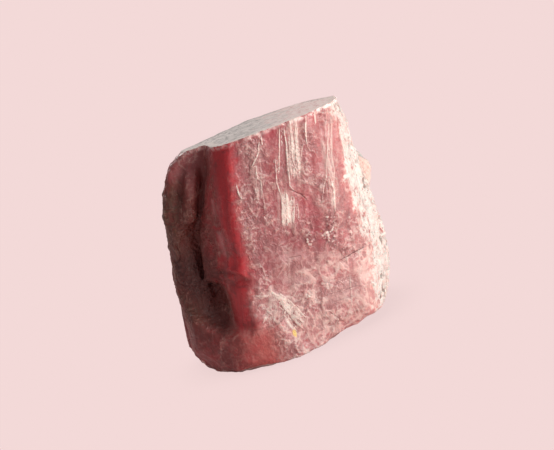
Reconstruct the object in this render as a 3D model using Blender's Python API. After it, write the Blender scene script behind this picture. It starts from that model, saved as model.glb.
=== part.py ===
"""A raw ruby crystal: one stubby, tapering six-sided prism, standing on its broken base.

The stone is a single solid. Its bulk is a main prism, a smaller column grown beside it and
a low foot that ties the two together, with a deep re-entrant hollow between them. Each of
these is cut out of a cube, facet by facet. They are joined, carved, rounded a little,
roughened, and cut flat at the top and at the base.

Units: the tables and functions below work in millimetres. The finished mesh is in metres.
Frame: origin on the base, +Z up along the height, -Y towards the broad front face, +X
towards the side that stands nearly upright.
"""

import math

import bmesh
import bpy
import numpy as np
from mathutils import Vector, noise

# ---------------------------------------------------------------- driving dimensions
MM = 0.001
HEIGHT = 24.0
BLANK_SIZE = 70.0
OVERLENGTH = 1.1
OVERLENGTH_STEP = 0.2
ROD_SIDES = 3
VOXEL = 0.27
WEAR = 0.5
WEAR_STEPS = 5
TRIANGLE_BUDGET = 9000
JOIN_GAP = 0.0001
SHORTEST_EDGE = 0.02
LEVEL_GAP = 0.05

# A facet is (azimuth, lean, point): azimuth of its outward normal in degrees, 0 facing -Y and
# 90 facing +X; lean is how far the normal tips upwards; the point lies on the facet.
MAIN_PRISM = {
    "front": (6, 0.5, (1.0, -7.8, 12.0)),
    "front_right": (30, 0.0, (6.9, -7.0, 12.0)),
    "right_front": (60, -3.0, (9.4, -4.6, 12.0)),
    "right": (93, 0.3, (10.65, 0.0, 12.0)),
    "back_right": (129, 8.0, (9.3, 3.0, 12.0)),
    "back": (172, 9.0, (3.0, 6.0, 12.0)),
    "back_left": (-150, 10.0, (-3.5, 3.6, 12.0)),
    "left": (-100, 13.0, (-8.8, 0.0, 12.0)),
    "upper_flank": (-34, 11.5, (-3.5, -8.2, 18.8)),
    "flank": (-34, 2.0, (-4.3, -8.3, 13.5)),
    "inner_flank": (-50, 10.0, (-5.7, -7.25, 13.0)),
    "upper_edge": (-80, 24.0, (-5.4, -5.5, 20.5)),
}
LOWER_SLAB = {
    "front": (6, 0.8, (-4.0, -8.40, 8.0)),
    "flank": (-44, 6.5, (-5.15, -8.4, 9.6)),
    "left": (-84, 6.0, (-7.4, -5.0, 9.5)),
    "top": (-40, 62.0, (-5.1, -8.3, 9.5)),
    "right": (52, 12.0, (-2.6, -8.3, 8.5)),
    "back": (180, 0.0, (-5.0, 0.0, 8.0)),
}
SIDE_COLUMN = {
    "front": (-8, 6.0, (-10.3, -3.4, 12.0)),
    "front_left": (-50, 11.0, (-11.7, -2.4, 13.0)),
    "left": (-88, 13.0, (-11.8, 0.0, 15.0)),
    "lower_left": (-86, 2.0, (-12.95, 0.0, 9.0)),
    "back_left": (-132, 11.0, (-11.0, 2.6, 12.0)),
    "back": (178, 11.0, (-7.0, 4.2, 12.0)),
    "right": (90, 0.0, (-2.0, 0.0, 12.0)),
    "shoulder": (-104, 38.0, (-8.9, -1.0, 22.3)),
    "brow": (-60, 55.0, (-7.2, -2.6, 23.6)),
    "nape": (-152, 42.0, (-6.2, 0.0, 23.2)),
}
# The side of the column that falls away towards the flank, below the ribs.
VALLEY = {
    "slope": (-146, -4.0, (-11.4, -3.45, 12.0)),
    "front": (0, 0.0, (-9.0, -9.0, 10.0)),
    "right": (90, 0.0, (-8.2, 0.0, 10.0)),
    "top": (-153, 44.0, (-10.0, -3.4, 16.2)),
    "bottom": (0, -80.0, (-9.0, -4.0, 4.0)),
}
FOOT = {
    "front_left": (-38, 4.0, (-10.2, -6.9, 2.5)),
    "left": (-82, 9.0, (-13.5, 0.0, 3.4)),
    "back_left": (-134, 8.0, (-12.0, 4.4, 3.0)),
    "back": (178, 10.0, (-6.0, 7.0, 3.0)),
    "right": (80, 0.0, (-2.0, 0.0, 3.0)),
    "slope": (60, 45.0, (-10.7, -4.2, 6.4)),
    "rear_slope": (128, 46.0, (-9.0, 0.0, 9.0)),
    "rear_step": (166, 54.0, (-9.6, 5.7, 6.2)),
    "rear_corner": (-156, 38.0, (-12.0, 4.6, 5.4)),
}
SILL = {
    "front": (-6, 2.0, (-5.0, -8.85, 2.5)),
    "front_left": (-34, 4.0, (-9.2, -7.5, 2.5)),
    "left": (-80, 20.0, (-10.6, -5.0, 3.0)),
    "top": (-14, 72.0, (-6.6, -7.7, 4.2)),
    "right": (44, 14.0, (-2.0, -8.6, 2.0)),
    "back": (180, 0.0, (-5.0, 1.0, 3.0)),
}
# The room below the overhanging lobe of the flank.
UNDERCUT = {
    "inner": (104, -6.0, (-7.3, -5.0, 9.5)),
    "top": (-60, 78.0, (-8.4, -5.0, 9.5)),
    "bottom": (0, -80.0, (-8.0, -6.0, 4.3)),
    "left": (-60, 0.0, (-10.6, -5.0, 8.0)),
    "back": (-150, -10.0, (-9.7, -4.3, 6.5)),
}
# A low knob on the upright side.
KNOB = {
    "outer": (93, 5.0, (11.9, 1.2, 15.0)),
    "upper": (76, 42.0, (11.2, 1.2, 17.0)),
    "lower": (100, -30.0, (11.4, 1.2, 14.2)),
    "front": (22, 6.0, (10.6, -0.9, 15.0)),
    "rear": (148, 14.0, (10.4, 2.5, 15.0)),
    "inner": (-90, 0.0, (7.0, 0.0, 15.0)),
}
# A flake gone from the upper half of the back.
FLAKE = {
    "inner": (-8, -9.0, (3.0, 4.9, 15.0)),
    "bottom": (-24, -56.0, (3.0, 5.2, 11.8)),
    "left": (-52, 2.0, (-1.6, 4.9, 15.0)),
    "right": (38, 4.0, (6.2, 5.1, 14.0)),
}
# Broken corners, each one plane across the whole stone.
CHIPS = {
    "heel": (58, -77.0, (2.2, -6.0, -0.1)),
    "heel_corner": (84, -40.0, (9.7, -3.0, 3.0)),
    "heel_side": (86, -14.0, (10.6, -2.0, 5.6)),
    "toe": (-50, -36.0, (-12.6, -3.9, 0.9)),
    "toe_corner": (-74, -46.0, (-13.05, -2.2, 0.8)),
    "toe_side": (-94, -32.0, (-13.4, 0.0, 1.6)),
    "toe_front": (-22, -48.0, (-8.5, -8.0, 0.7)),
    "toe_edge": (-64, -22.0, (-12.5, -4.2, 2.6)),
    "rear_heel": (150, -50.0, (3.0, 8.0, 1.6)),
    "rear_shoulder": (168, 48.0, (3.0, 3.9, 23.4)),
}
# A rod is a list of (x, y, z, radius) along its centre line.
HOLLOW = (
    (-4.7, -4.2, 22.2, 0.5), (-5.7, -3.4, 20.5, 0.6), (-7.4, -3.2, 17.3, 0.7), (-8.5, -2.8, 15.5, 0.8),
    (-8.9, -2.4, 13.6, 0.85), (-9.1, -2.3, 11.4, 0.85), (-9.0, -2.7, 9.6, 0.8), (-8.8, -3.6, 7.6, 0.8),
    (-8.7, -4.5, 6.0, 0.7),
)
RIB_GROOVE = (
    (-7.1, -2.9, 23.4, 0.3), (-7.9, -2.8, 21.7, 0.5), (-8.8, -2.9, 19.6, 0.55), (-9.7, -3.4, 17.4, 0.35),
)
INNER_RIB = (
    (-6.5, -2.7, 22.1, 0.7), (-6.8, -2.9, 21.3, 1.0), (-7.3, -3.0, 20.2, 1.05), (-7.9, -3.1, 18.9, 0.9),
    (-8.4, -3.3, 17.6, 1.0), (-8.7, -3.3, 16.5, 0.7),
)
OUTER_RIB = (
    (-7.9, -1.2, 22.9, 0.8), (-8.9, -1.6, 21.2, 1.05), (-9.8, -1.9, 19.1, 1.0), (-10.8, -1.5, 17.2, 0.9),
)
BEAK = ((-4.5, -7.9, 12.2, 0.5), (-4.9, -7.8, 10.7, 0.8), (-6.6, -6.7, 10.3, 0.7), (-7.6, -5.8, 10.5, 0.5))
# The crystal's long axis, along which its growth lines run.
AXIS = (0.28, 0.02, 0.96)
# Unevenness of the skin: (height, size in x, y and z). The growth lines' size is along AXIS.
SWELLS = (0.20, (5.5, 5.5, 7.0))
RIPPLES = (0.11, (2.0, 2.0, 2.4))
GROWTH_LINES = (0.13, (1.3, 1.3, 9.0))
SEED_STEP = (7.3, 3.1, 5.7)
# Rows of small bites along the broken edges: (start, end, how many).
BITTEN_EDGES = (
    ((1.0, -7.8, 0.1), (8.2, -6.3, 1.7), 9),
    ((8.6, -6.2, 1.7), (10.4, -2.0, 3.9), 6),
    ((9.6, 0.0, 2.6), (7.0, 6.4, 0.6), 7),
    ((5.0, 8.0, 1.0), (-6.0, 8.2, 0.2), 9),
    ((-13.4, -1.0, 1.0), (-12.0, 4.0, 0.3), 4),
    ((-11.6, 5.0, 7.4), (-5.4, 7.1, 1.8), 8),
    ((-5.0, 0.2, 24.0), (4.0, 4.2, 24.0), 6),
)
BITE_SCATTER = 0.25
BITE_RADIUS = (0.6, 1.1)
BITE_DEPTH = (0.15, 0.5)
BITE_SEED = 7
# Raised growth lines and lumps: (half width, height, points along it). A negative height is a groove.
STROKES = (
    (0.45, 0.12, ((3.7, -7.6, 23.8), (2.9, -7.7, 21.4), (2.1, -7.8, 19.2))),
    (0.40, 0.11, ((2.1, -7.8, 20.6), (1.6, -7.9, 18.5), (1.9, -7.8, 16.8), (1.0, -7.9, 14.0))),
    (0.45, 0.12, ((5.1, -7.4, 23.4), (4.2, -7.5, 21.0), (2.8, -7.7, 17.6), (2.6, -7.8, 15.6))),
    (0.90, 0.12, ((2.1, -7.8, 17.0), (1.8, -7.9, 15.6), (1.6, -7.9, 14.2))),
    (0.40, 0.08, ((6.5, -7.2, 23.0), (5.2, -7.4, 20.4), (3.8, -7.6, 18.5))),
    (0.60, 0.14, ((9.2, -5.8, 23.0), (8.0, -6.6, 19.5), (6.8, -7.1, 16.0), (5.9, -7.3, 13.6))),
    (0.55, -0.12, ((8.1, -6.5, 22.5), (6.9, -7.0, 18.6), (5.6, -7.3, 15.0))),
    (0.80, 0.12, ((5.6, -7.3, 15.4), (5.0, -7.4, 13.0))),
    (0.90, 0.11, ((6.4, -7.2, 12.6), (4.6, -7.5, 11.0), (4.0, -7.6, 9.4))),
    (0.60, -0.17, ((3.4, -7.6, 12.6), (2.2, -7.8, 12.0), (0.6, -8.0, 11.9))),
    (0.45, 0.09, ((0.8, -7.9, 22.7), (0.0, -8.0, 20.0), (-0.4, -8.1, 17.6))),
    (0.55, -0.09, ((-0.6, -8.1, 22.0), (-1.3, -8.1, 18.6), (-2.4, -8.2, 14.0))),
    (0.80, 0.14, ((-3.4, -8.4, 7.4), (-2.4, -8.3, 5.8), (-1.2, -8.3, 3.6))),
    (0.45, -0.09, ((-4.6, -8.5, 8.0), (-4.4, -8.5, 6.0), (-4.3, -8.5, 4.6))),
    (0.45, -0.17, ((4.0, -7.6, 7.4), (6.0, -7.3, 8.0), (8.4, -6.4, 8.5))),
    (0.90, 0.11, ((0.6, -8.0, 4.6), (2.6, -7.8, 3.8), (4.6, -7.5, 3.4))),
    (0.45, -0.12, ((1.0, -8.0, 6.3), (4.0, -7.7, 6.0), (7.6, -6.8, 5.6))),
    (0.70, 0.14, ((7.2, -6.8, 4.4), (8.8, -5.8, 5.0), (9.9, -4.0, 5.8))),
    (0.50, -0.30, ((-5.3, -7.9, 20.6), (-6.0, -7.2, 17.6), (-6.2, -6.9, 14.2), (-6.8, -6.4, 11.6))),
    (0.60, 0.20, ((-7.3, -5.4, 18.0), (-8.2, -4.6, 14.6), (-8.6, -4.4, 11.8))),
    (0.80, 0.28, ((-11.6, -2.8, 17.4), (-11.0, -3.3, 15.6), (-10.6, -3.5, 12.4), (-10.4, -4.0, 9.2))),
    (0.55, -0.22, ((-12.6, -1.6, 12.6), (-12.2, -3.0, 9.8), (-11.2, -4.3, 7.2))),
    (0.50, -0.25, ((10.4, -3.3, 20.0), (10.0, -3.8, 14.0), (9.9, -4.2, 9.0))),
    (0.60, 0.25, ((10.9, -1.2, 22.0), (10.9, -1.6, 15.0), (10.9, -1.8, 8.0))),
    (0.70, -0.35, ((10.9, 0.0, 11.6), (10.6, 1.2, 8.0), (10.8, 2.0, 4.0))),
    (0.60, -0.25, ((11.8, 0.4, 17.0), (11.8, 1.6, 15.4), (11.6, 2.6, 13.6))),
    (0.80, 0.35, ((7.4, 3.6, 22.0), (7.6, 5.0, 14.0), (7.4, 6.4, 5.0))),
    (0.60, -0.30, ((5.6, 5.0, 21.0), (5.4, 6.4, 13.0), (5.0, 7.6, 5.0))),
    (0.80, 0.30, ((-6.9, 2.4, 19.0), (-8.3, 4.0, 11.0), (-9.2, 5.6, 5.0))),
    (1.30, -0.80, ((-4.2, 2.9, 22.0), (-5.2, 3.5, 17.0), (-5.6, 4.4, 11.0), (-6.0, 5.4, 6.6))),
    (0.70, -0.45, ((-5.0, 3.2, 18.4), (-5.6, 4.2, 12.6), (-5.7, 4.9, 8.2))),
    (1.10, 0.30, ((-10.8, 5.2, 7.0), (-8.4, 6.2, 4.6), (-6.4, 6.9, 2.4))),
    (0.60, -0.30, ((-9.0, 1.8, 18.0), (-10.0, 2.8, 12.0), (-10.8, 3.4, 6.0))),
    (0.60, -0.25, ((-4.0, 5.0, 9.6), (0.0, 7.0, 9.0), (4.0, 7.2, 9.6))),
)


def outward(azimuth, lean):
    """The unit normal with this azimuth and lean."""
    around, up = math.radians(azimuth), math.radians(lean)
    return Vector((math.sin(around) * math.cos(up), -math.cos(around) * math.cos(up), math.sin(up)))


def link(name, data):
    """A new object in the scene that holds this mesh or curve."""
    obj = bpy.data.objects.new(name, data)
    bpy.context.scene.collection.objects.link(obj)
    return obj


def as_mesh(name, shape):
    """A mesh made from a bmesh, which is freed."""
    data = bpy.data.meshes.new(name)
    shape.to_mesh(data)
    shape.free()
    return data


def settled(obj):
    """The object's mesh with its modifiers worked out; the object itself is removed."""
    bpy.context.view_layer.update()
    graph = bpy.context.evaluated_depsgraph_get()
    data = bpy.data.meshes.new_from_object(obj.evaluated_get(graph))
    bpy.data.objects.remove(obj, do_unlink=True)
    return data


def cut_off(shape, point, normal):
    """Cut away what lies on the outer side of a plane and close the cut."""
    everything = shape.verts[:] + shape.edges[:] + shape.faces[:]
    cut = bmesh.ops.bisect_plane(shape, geom=everything, plane_co=point, plane_no=normal, clear_outer=True)
    rim = [item for item in cut["geom_cut"] if isinstance(item, bmesh.types.BMEdge)]
    bmesh.ops.edgeloop_fill(shape, edges=rim)


def faceted_block(name, facets, rank):
    """A convex block: a cube with one cut for each facet.

    Its ends stand past the stone's, and farther for each rank, so no two blocks share a plane.
    """
    reach = OVERLENGTH + OVERLENGTH_STEP * rank
    shape = bmesh.new()
    bmesh.ops.create_cube(shape, size=BLANK_SIZE)
    for azimuth, lean, point in facets.values():
        cut_off(shape, point, outward(azimuth, lean))
    cut_off(shape, (0, 0, -reach), (0, 0, -1))
    cut_off(shape, (0, 0, HEIGHT + reach), (0, 0, 1))
    bmesh.ops.recalc_face_normals(shape, faces=shape.faces)
    return link(name, as_mesh(name, shape))


def rod(name, points):
    """A round rod of changing thickness along a centre line, as a mesh."""
    curve = bpy.data.curves.new(name, "CURVE")
    curve.dimensions = "3D"
    curve.bevel_depth = 1.0
    curve.bevel_resolution = ROD_SIDES
    curve.use_fill_caps = True
    line = curve.splines.new("POLY")
    line.points.add(len(points) - 1)
    for end, (x, y, z, radius) in zip(line.points, points):
        end.co = (x, y, z, 1.0)
        end.radius = radius
    shape = bmesh.new()
    shape.from_mesh(settled(link(name, curve)))
    bmesh.ops.remove_doubles(shape, verts=shape.verts, dist=JOIN_GAP)
    bmesh.ops.recalc_face_normals(shape, faces=shape.faces)
    return link(name, as_mesh(name, shape))


def combine(target, operation, tool):
    """Join a tool to the target, or take it away, with a Boolean modifier."""
    tool.hide_render = True
    tool.display_type = "WIRE"
    modifier = target.modifiers.new(f"{operation.lower()}_{tool.name}", "BOOLEAN")
    modifier.operation = operation
    modifier.solver = "EXACT"
    modifier.object = tool


def rough_block():
    """The masses of the stone joined and carved, still with sharp edges."""
    stone = faceted_block("main_prism", MAIN_PRISM, 1)
    column = faceted_block("side_column", SIDE_COLUMN, 2)
    combine(column, "DIFFERENCE", faceted_block("valley", VALLEY, 9))
    combine(stone, "UNION", column)
    combine(stone, "DIFFERENCE", rod("hollow", HOLLOW))
    combine(stone, "DIFFERENCE", faceted_block("undercut", UNDERCUT, 3))
    combine(stone, "UNION", faceted_block("lower_slab", LOWER_SLAB, 4))
    combine(stone, "UNION", faceted_block("foot", FOOT, 5))
    combine(stone, "UNION", faceted_block("sill", SILL, 6))
    combine(stone, "DIFFERENCE", faceted_block("flake", FLAKE, 7))
    combine(stone, "UNION", rod("outer_rib", OUTER_RIB))
    combine(stone, "UNION", rod("inner_rib", INNER_RIB))
    combine(stone, "DIFFERENCE", rod("rib_groove", RIB_GROOVE))
    combine(stone, "UNION", rod("beak", BEAK))
    combine(stone, "UNION", faceted_block("knob", KNOB, 8))
    shape = bmesh.new()
    shape.from_mesh(settled(stone))
    for azimuth, lean, point in CHIPS.values():
        cut_off(shape, point, outward(azimuth, lean))
    return link("chipped_block", as_mesh("chipped_block", shape))


def evened(block):
    """The block with an even skin and slightly worn edges."""
    skin = block.modifiers.new("skin", "REMESH")
    skin.mode = "VOXEL"
    skin.voxel_size = VOXEL
    wear = block.modifiers.new("wear", "SMOOTH")
    wear.factor = WEAR
    wear.iterations = WEAR_STEPS
    return settled(block)


def nearness(points, line):
    """Distance from each point to a broken line."""
    best = np.full(len(points), np.inf)
    for start, end in zip(line[:-1], line[1:]):
        start, along = np.array(start), np.array(end) - np.array(start)
        share = np.clip((points - start) @ along / (along @ along), 0, 1)
        gap = np.linalg.norm(points - start - share[:, None] * along, axis=1)
        best = np.minimum(best, gap)
    return best


def unevenness(points, layer, seed):
    """Smooth noise at each point, of the layer's height and with features about as large as its size."""
    height, size = layer
    shift = Vector(SEED_STEP) * seed
    return height * np.array([noise.noise(Vector(place) + shift) for place in points / np.array(size)])


def growth_frame(points):
    """The points measured across and along the crystal's long axis."""
    along = np.array(AXIS) / np.linalg.norm(AXIS)
    side = np.cross((0, 1, 0), along)
    side /= np.linalg.norm(side)
    return np.stack((points @ side, points @ np.cross(along, side), points @ along), axis=1)


def bites():
    """Small bites along the broken edges: (centre, radius, depth)."""
    rng = np.random.default_rng(BITE_SEED)
    for start, end, count in BITTEN_EDGES:
        for share in (np.arange(count) + 0.5) / count:
            centre = np.array(start) * (1 - share) + np.array(end) * share + rng.normal(0, BITE_SCATTER, 3)
            yield centre, rng.uniform(*BITE_RADIUS), rng.uniform(*BITE_DEPTH)


def roughen(mesh):
    """Push the skin in and out: uneven faces, growth lines, lumps and bites."""
    count = len(mesh.vertices)
    points = np.empty(count * 3)
    mesh.vertices.foreach_get("co", points)
    points = points.reshape(-1, 3)
    normals = np.array([vertex.normal for vertex in mesh.vertices])
    push = unevenness(points, SWELLS, 1) + unevenness(points, RIPPLES, 2)
    push += unevenness(growth_frame(points), GROWTH_LINES, 3)
    for width, height, line in STROKES:
        push += height * np.exp(-(nearness(points, line) / width) ** 2)
    for centre, radius, depth in bites():
        push -= depth * np.exp(-np.sum((points - centre) ** 2, axis=1) / radius ** 2)
    points += normals * push[:, None]
    mesh.vertices.foreach_set("co", points.ravel())
    mesh.update()


def trimmed(mesh):
    """The stone between its flat top and its flat base, with few enough triangles."""
    shape = bmesh.new()
    shape.from_mesh(mesh)
    cut_off(shape, (0, 0, HEIGHT), (0, 0, 1))
    cut_off(shape, (0, 0, 0), (0, 0, -1))
    bmesh.ops.triangulate(shape, faces=shape.faces)
    full = len(shape.faces)
    dense = link("dense_stone", as_mesh("dense_stone", shape))
    thin = dense.modifiers.new("thin", "DECIMATE")
    thin.ratio = TRIANGLE_BUDGET / full
    return settled(dense)


def seat(mesh):
    """Make the top and the base truly flat, and put the middle of the bounding box over the origin."""
    shape = bmesh.new()
    shape.from_mesh(mesh)
    for vertex in shape.verts:
        if vertex.co.z < LEVEL_GAP:
            vertex.co.z = 0.0
        if vertex.co.z > HEIGHT - LEVEL_GAP:
            vertex.co.z = HEIGHT
    bmesh.ops.remove_doubles(shape, verts=shape.verts, dist=SHORTEST_EDGE)
    bmesh.ops.dissolve_degenerate(shape, edges=shape.edges, dist=SHORTEST_EDGE)
    bmesh.ops.triangulate(shape, faces=shape.faces)
    spans = [[vertex.co[axis] for vertex in shape.verts] for axis in (0, 1)]
    middle = Vector([(min(span) + max(span)) / 2 for span in spans] + [0.0])
    for vertex in shape.verts:
        vertex.co = (vertex.co - middle) * MM
    return as_mesh("ruby_crystal", shape)


def ruby_rough():
    """Dusky red, slightly waxy rough ruby."""
    material = bpy.data.materials.new("ruby_rough")
    material.use_nodes = True
    shader = material.node_tree.nodes["Principled BSDF"]
    shader.inputs["Base Color"].default_value = (0.42, 0.09, 0.12, 1.0)
    shader.inputs["Roughness"].default_value = 0.45
    shader.inputs["Metallic"].default_value = 0.0
    return material


def clear_scene():
    """Remove every object."""
    for obj in list(bpy.data.objects):
        bpy.data.objects.remove(obj, do_unlink=True)


def main():
    """Build the stone in an empty scene."""
    clear_scene()
    mesh = evened(rough_block())
    roughen(mesh)
    stone = link("ruby_crystal", seat(trimmed(mesh)))
    stone.data.materials.append(ruby_rough())


if __name__ == "__main__":
    main()
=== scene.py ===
"""A raw ruby crystal: its weathered skin, growth lines, crumbs and finishes, on a plain stage.

The file is laid out as an add-on and run as a script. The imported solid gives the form. The
stone's operator copies it, grows crumbs on it, fills the recess's bottom a little, remeshes it
finely, carves its relief and paints masks on it as attributes, from which the materials take
their colours.

Units: the tables and functions below work in millimetres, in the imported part's own frame:
origin on the base, +Z up, -Y towards the broad front face, +X towards the upright side.
Objects, property defaults with a length unit and the finished mesh are in metres.
"""

import math

import bmesh
import bpy
import numpy as np
from bpy.props import FloatProperty, FloatVectorProperty, IntProperty, PointerProperty
from mathutils import Matrix, Vector
from mathutils.kdtree import KDTree


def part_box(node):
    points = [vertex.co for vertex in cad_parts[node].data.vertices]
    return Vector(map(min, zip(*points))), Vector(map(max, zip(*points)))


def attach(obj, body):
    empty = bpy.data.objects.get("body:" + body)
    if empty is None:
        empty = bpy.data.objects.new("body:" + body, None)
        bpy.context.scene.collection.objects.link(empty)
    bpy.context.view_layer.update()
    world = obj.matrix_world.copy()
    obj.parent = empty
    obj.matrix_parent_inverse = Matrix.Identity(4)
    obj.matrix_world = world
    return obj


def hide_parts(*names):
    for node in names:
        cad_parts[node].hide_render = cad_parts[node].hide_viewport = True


bl_info = {
    "name": "Raw ruby crystal",
    "version": (1, 0, 0),
    "blender": (4, 5, 0),
    "location": "3D View > Sidebar > Crystal",
    "description": "Dresses the packed raw ruby crystal and sets its stage",
    "category": "Object",
}

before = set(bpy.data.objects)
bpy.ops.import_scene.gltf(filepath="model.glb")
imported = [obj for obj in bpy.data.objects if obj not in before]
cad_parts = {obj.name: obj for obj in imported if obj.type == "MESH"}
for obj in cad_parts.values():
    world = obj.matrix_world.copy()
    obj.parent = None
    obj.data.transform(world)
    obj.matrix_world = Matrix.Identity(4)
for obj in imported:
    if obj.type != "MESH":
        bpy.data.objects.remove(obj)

NODE = "ruby_crystal"
BODY = "root"
MM = 0.001
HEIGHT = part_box(NODE)[1].z / MM

# ---------------------------------------------------------------- places on the stone, in mm
# The long axis, along which the growth lines run.
AXIS = (0.28, 0.02, 0.96)

# A line or a bed on the front is (half width, strength, points ...), its points (x, z) on the front face.
GROWTH_LINES = (
    (0.072, 1.00, (4.7, 23.6), (4.0, 21.5), (3.15, 19.2)),
    (0.072, 0.90, (3.2, 20.6), (2.9, 19.4), (2.55, 18.3), (2.5, 15.9)),
    (0.079, 1.00, (5.1, 23.3), (4.85, 21.7), (4.25, 19.5), (3.7, 17.5), (3.95, 16.8)),
    (0.072, 0.75, (5.5, 22.1), (5.15, 20.6), (4.9, 19.7), (4.95, 18.8), (4.5, 18.2)),
    (0.086, 0.85, (6.4, 23.3), (6.1, 22.1), (5.65, 20.8), (5.25, 19.7)),
    (0.101, 1.00, (7.8, 23.8), (7.25, 22.4), (6.95, 21.3)),
    (0.072, 0.60, (6.5, 21.1), (5.95, 20.1), (4.85, 18.6)),
    (0.086, 0.75, (2.1, 22.9), (1.85, 22.1), (1.25, 21.4), (0.65, 20.8)),
    (0.072, 0.75, (1.15, 20.8), (0.75, 19.5), (1.05, 19.1), (0.75, 18.1)),
    (0.086, 0.80, (2.65, 23.4), (2.45, 22.6)),
    (0.094, 0.95, (-1.5, 19.6), (-1.65, 18.4), (-1.45, 18.0)),
    (0.072, 0.50, (0.8, 18.0), (0.65, 17.1), (0.25, 15.7)),
    (0.094, 0.60, (9.75, 22.1), (9.4, 20.9), (8.2, 18.4), (7.75, 17.2), (6.75, 15.5)),
    (0.086, 0.55, (10.3, 22.6), (9.65, 20.5), (9.0, 19.0), (8.75, 17.3), (8.35, 16.3)),
    (0.108, 0.95, (8.1, 16.6), (7.95, 15.4), (7.3, 13.2)),
    (0.101, 0.85, (8.8, 23.8), (8.5, 22.6)),
    (0.072, 0.40, (6.55, 6.1), (6.05, 4.3), (5.65, 3.0), (5.8, 1.9)),
)
# The broad glassy scales, in two bundles.
SCALES = (
    (0.12, 0.95, (2.45, 16.5), (2.25, 15.7), (1.60, 13.9)),
    (0.09, 0.80, (2.75, 16.9), (2.50, 15.8), (1.95, 14.2)),
    (0.18, 1.00, (3.10, 16.8), (2.85, 15.6), (2.15, 13.8)),
    (0.10, 0.90, (3.30, 16.0), (2.85, 14.9), (2.45, 13.8)),
    (0.12, 0.80, (3.70, 16.2), (3.30, 15.0), (2.80, 13.7)),
    (0.07, 0.70, (3.90, 15.4), (3.45, 13.9)),
    (0.17, 0.95, (-1.9, 7.6), (-1.4, 6.6), (-0.9, 5.5), (-0.5, 4.6)),
    (0.18, 1.00, (-1.5, 7.1), (-0.9, 5.9), (-0.5, 4.9), (0.0, 3.9)),
    (0.14, 0.90, (-1.2, 7.1), (-0.5, 5.9), (0.1, 4.6), (0.5, 3.7)),
    (0.17, 1.00, (-1.4, 6.1), (-0.9, 4.8), (-0.6, 3.6), (-0.2, 2.7)),
    (0.12, 0.85, (-0.6, 4.4), (0.2, 3.1)),
    (0.14, 0.80, (-1.5, 4.7), (-1.3, 3.6), (-0.9, 2.7)),
    (0.24, 0.55, (-2.1, 7.5), (-2.4, 6.4), (-3.1, 5.4), (-3.7, 4.9)),
    (0.21, 0.50, (-1.9, 6.9), (-2.1, 5.6), (-2.7, 4.6)),
    (0.14, 0.60, (-3.6, 7.7), (-2.5, 7.3)),
)
CRACKS = (
    (0.07, 0.70, (3.5, 17.2), (4.45, 16.3), (4.9, 15.5)),
    (0.06, 0.80, (6.0, 8.0), (7.35, 8.1), (8.9, 8.2)),
    (0.05, 0.25, (1.2, 6.9), (3.4, 6.4), (6.1, 6.1)),
    (0.05, 0.20, (3.6, 5.2), (6.6, 4.7)),
    (0.07, 0.30, (3.1, 3.2), (3.75, 2.3), (4.5, 1.1)),
    (0.05, 0.45, (1.0, 10.35), (2.4, 10.1)),
    (0.09, 0.30, (-5.4, 4.3), (-3.2, 4.15), (-1.8, 4.3)),
    (0.035, 0.35, (3.3, 5.0), (5.2, 4.75), (7.0, 4.7)),
    (0.035, 0.30, (4.0, 4.1), (6.5, 3.85)),
)
# The flank's ledge, a list of (x, z) from left to right: the skin steps in below it.
LEDGE = ((-9.0, 11.8), (-7.2, 11.4), (-5.9, 11.3), (-4.8, 10.9), (-3.7, 9.8), (-2.4, 9.0))
CRUMB_BEDS = (
    (0.55, 1.0, (6.7, 13.2), (6.1, 11.2)),
    (0.60, 1.0, (5.7, 11.1), (6.8, 8.8)),
    (0.55, 0.9, (3.1, 12.4), (4.0, 10.9)),
    (0.45, 0.8, (4.0, 9.5), (4.6, 8.3)),
    (0.50, 0.8, (3.0, 7.4), (4.1, 5.9)),
    (0.40, 0.7, (1.5, 6.1), (2.1, 5.3)),
    (0.50, 0.8, (8.6, 12.6), (8.2, 9.6)),
    (0.60, 0.5, (1.2, 2.6), (3.2, 1.9), (6.6, 2.2)),
)
PALE_PATCHES = (
    (0.16, 0.9, (-4.5, 18.6), (-4.8, 17.0)),
    (0.24, 0.9, (-5.0, 15.0), (-5.2, 13.6), (-5.2, 12.6)),
    (0.50, 0.9, (0.8, 10.6), (2.7, 10.0)),
    (0.50, 0.8, (-0.1, 8.1), (2.0, 7.5)),
    (0.90, 0.7, (3.9, 4.6), (6.8, 4.4)),
    (0.60, 0.6, (-2.0, 7.0), (-1.0, 4.0)),
)
CLEAR_ZONES = (
    (0.65, 1.0, (9.0, 22.4), (8.3, 18.9)),
    (0.50, 0.9, (9.8, 19.5), (9.8, 16.2)),
    (0.55, 0.9, (9.9, 15.4), (9.3, 12.7)),
    (0.75, 0.9, (1.9, 20.3), (2.3, 19.0)),
    (0.70, 0.9, (4.2, 23.7), (3.2, 22.9)),
    (0.75, 0.8, (4.6, 16.7), (5.3, 14.6)),
    (0.55, 0.8, (5.2, 12.6), (4.9, 10.9)),
    (0.90, 0.7, (7.6, 7.2), (6.6, 6.0), (8.2, 5.0)),
)
# Where the greyish veil is thickest on the front.
VEIL_BEDS = (
    (1.3, 1.0, (1.0, 21.4), (-0.6, 17.8)),
    (1.2, 0.9, (6.0, 22.6), (5.0, 18.6)),
    (1.6, 0.9, (-0.8, 16.2), (-1.2, 12.6)),
    (1.3, 0.8, (0.8, 11.6), (1.0, 9.2)),
    (1.4, 0.8, (3.4, 4.6), (6.0, 4.0)),
    (1.3, 0.8, (-2.0, 7.6), (-1.4, 5.4)),
    (1.0, 0.7, (0.6, 2.2), (3.2, 1.6)),
    (0.7, 0.9, (9.0, 17.8), (7.4, 12.4)),
    (1.6, 0.9, (1.5, 13.5), (6.0, 12.0)),
)
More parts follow.
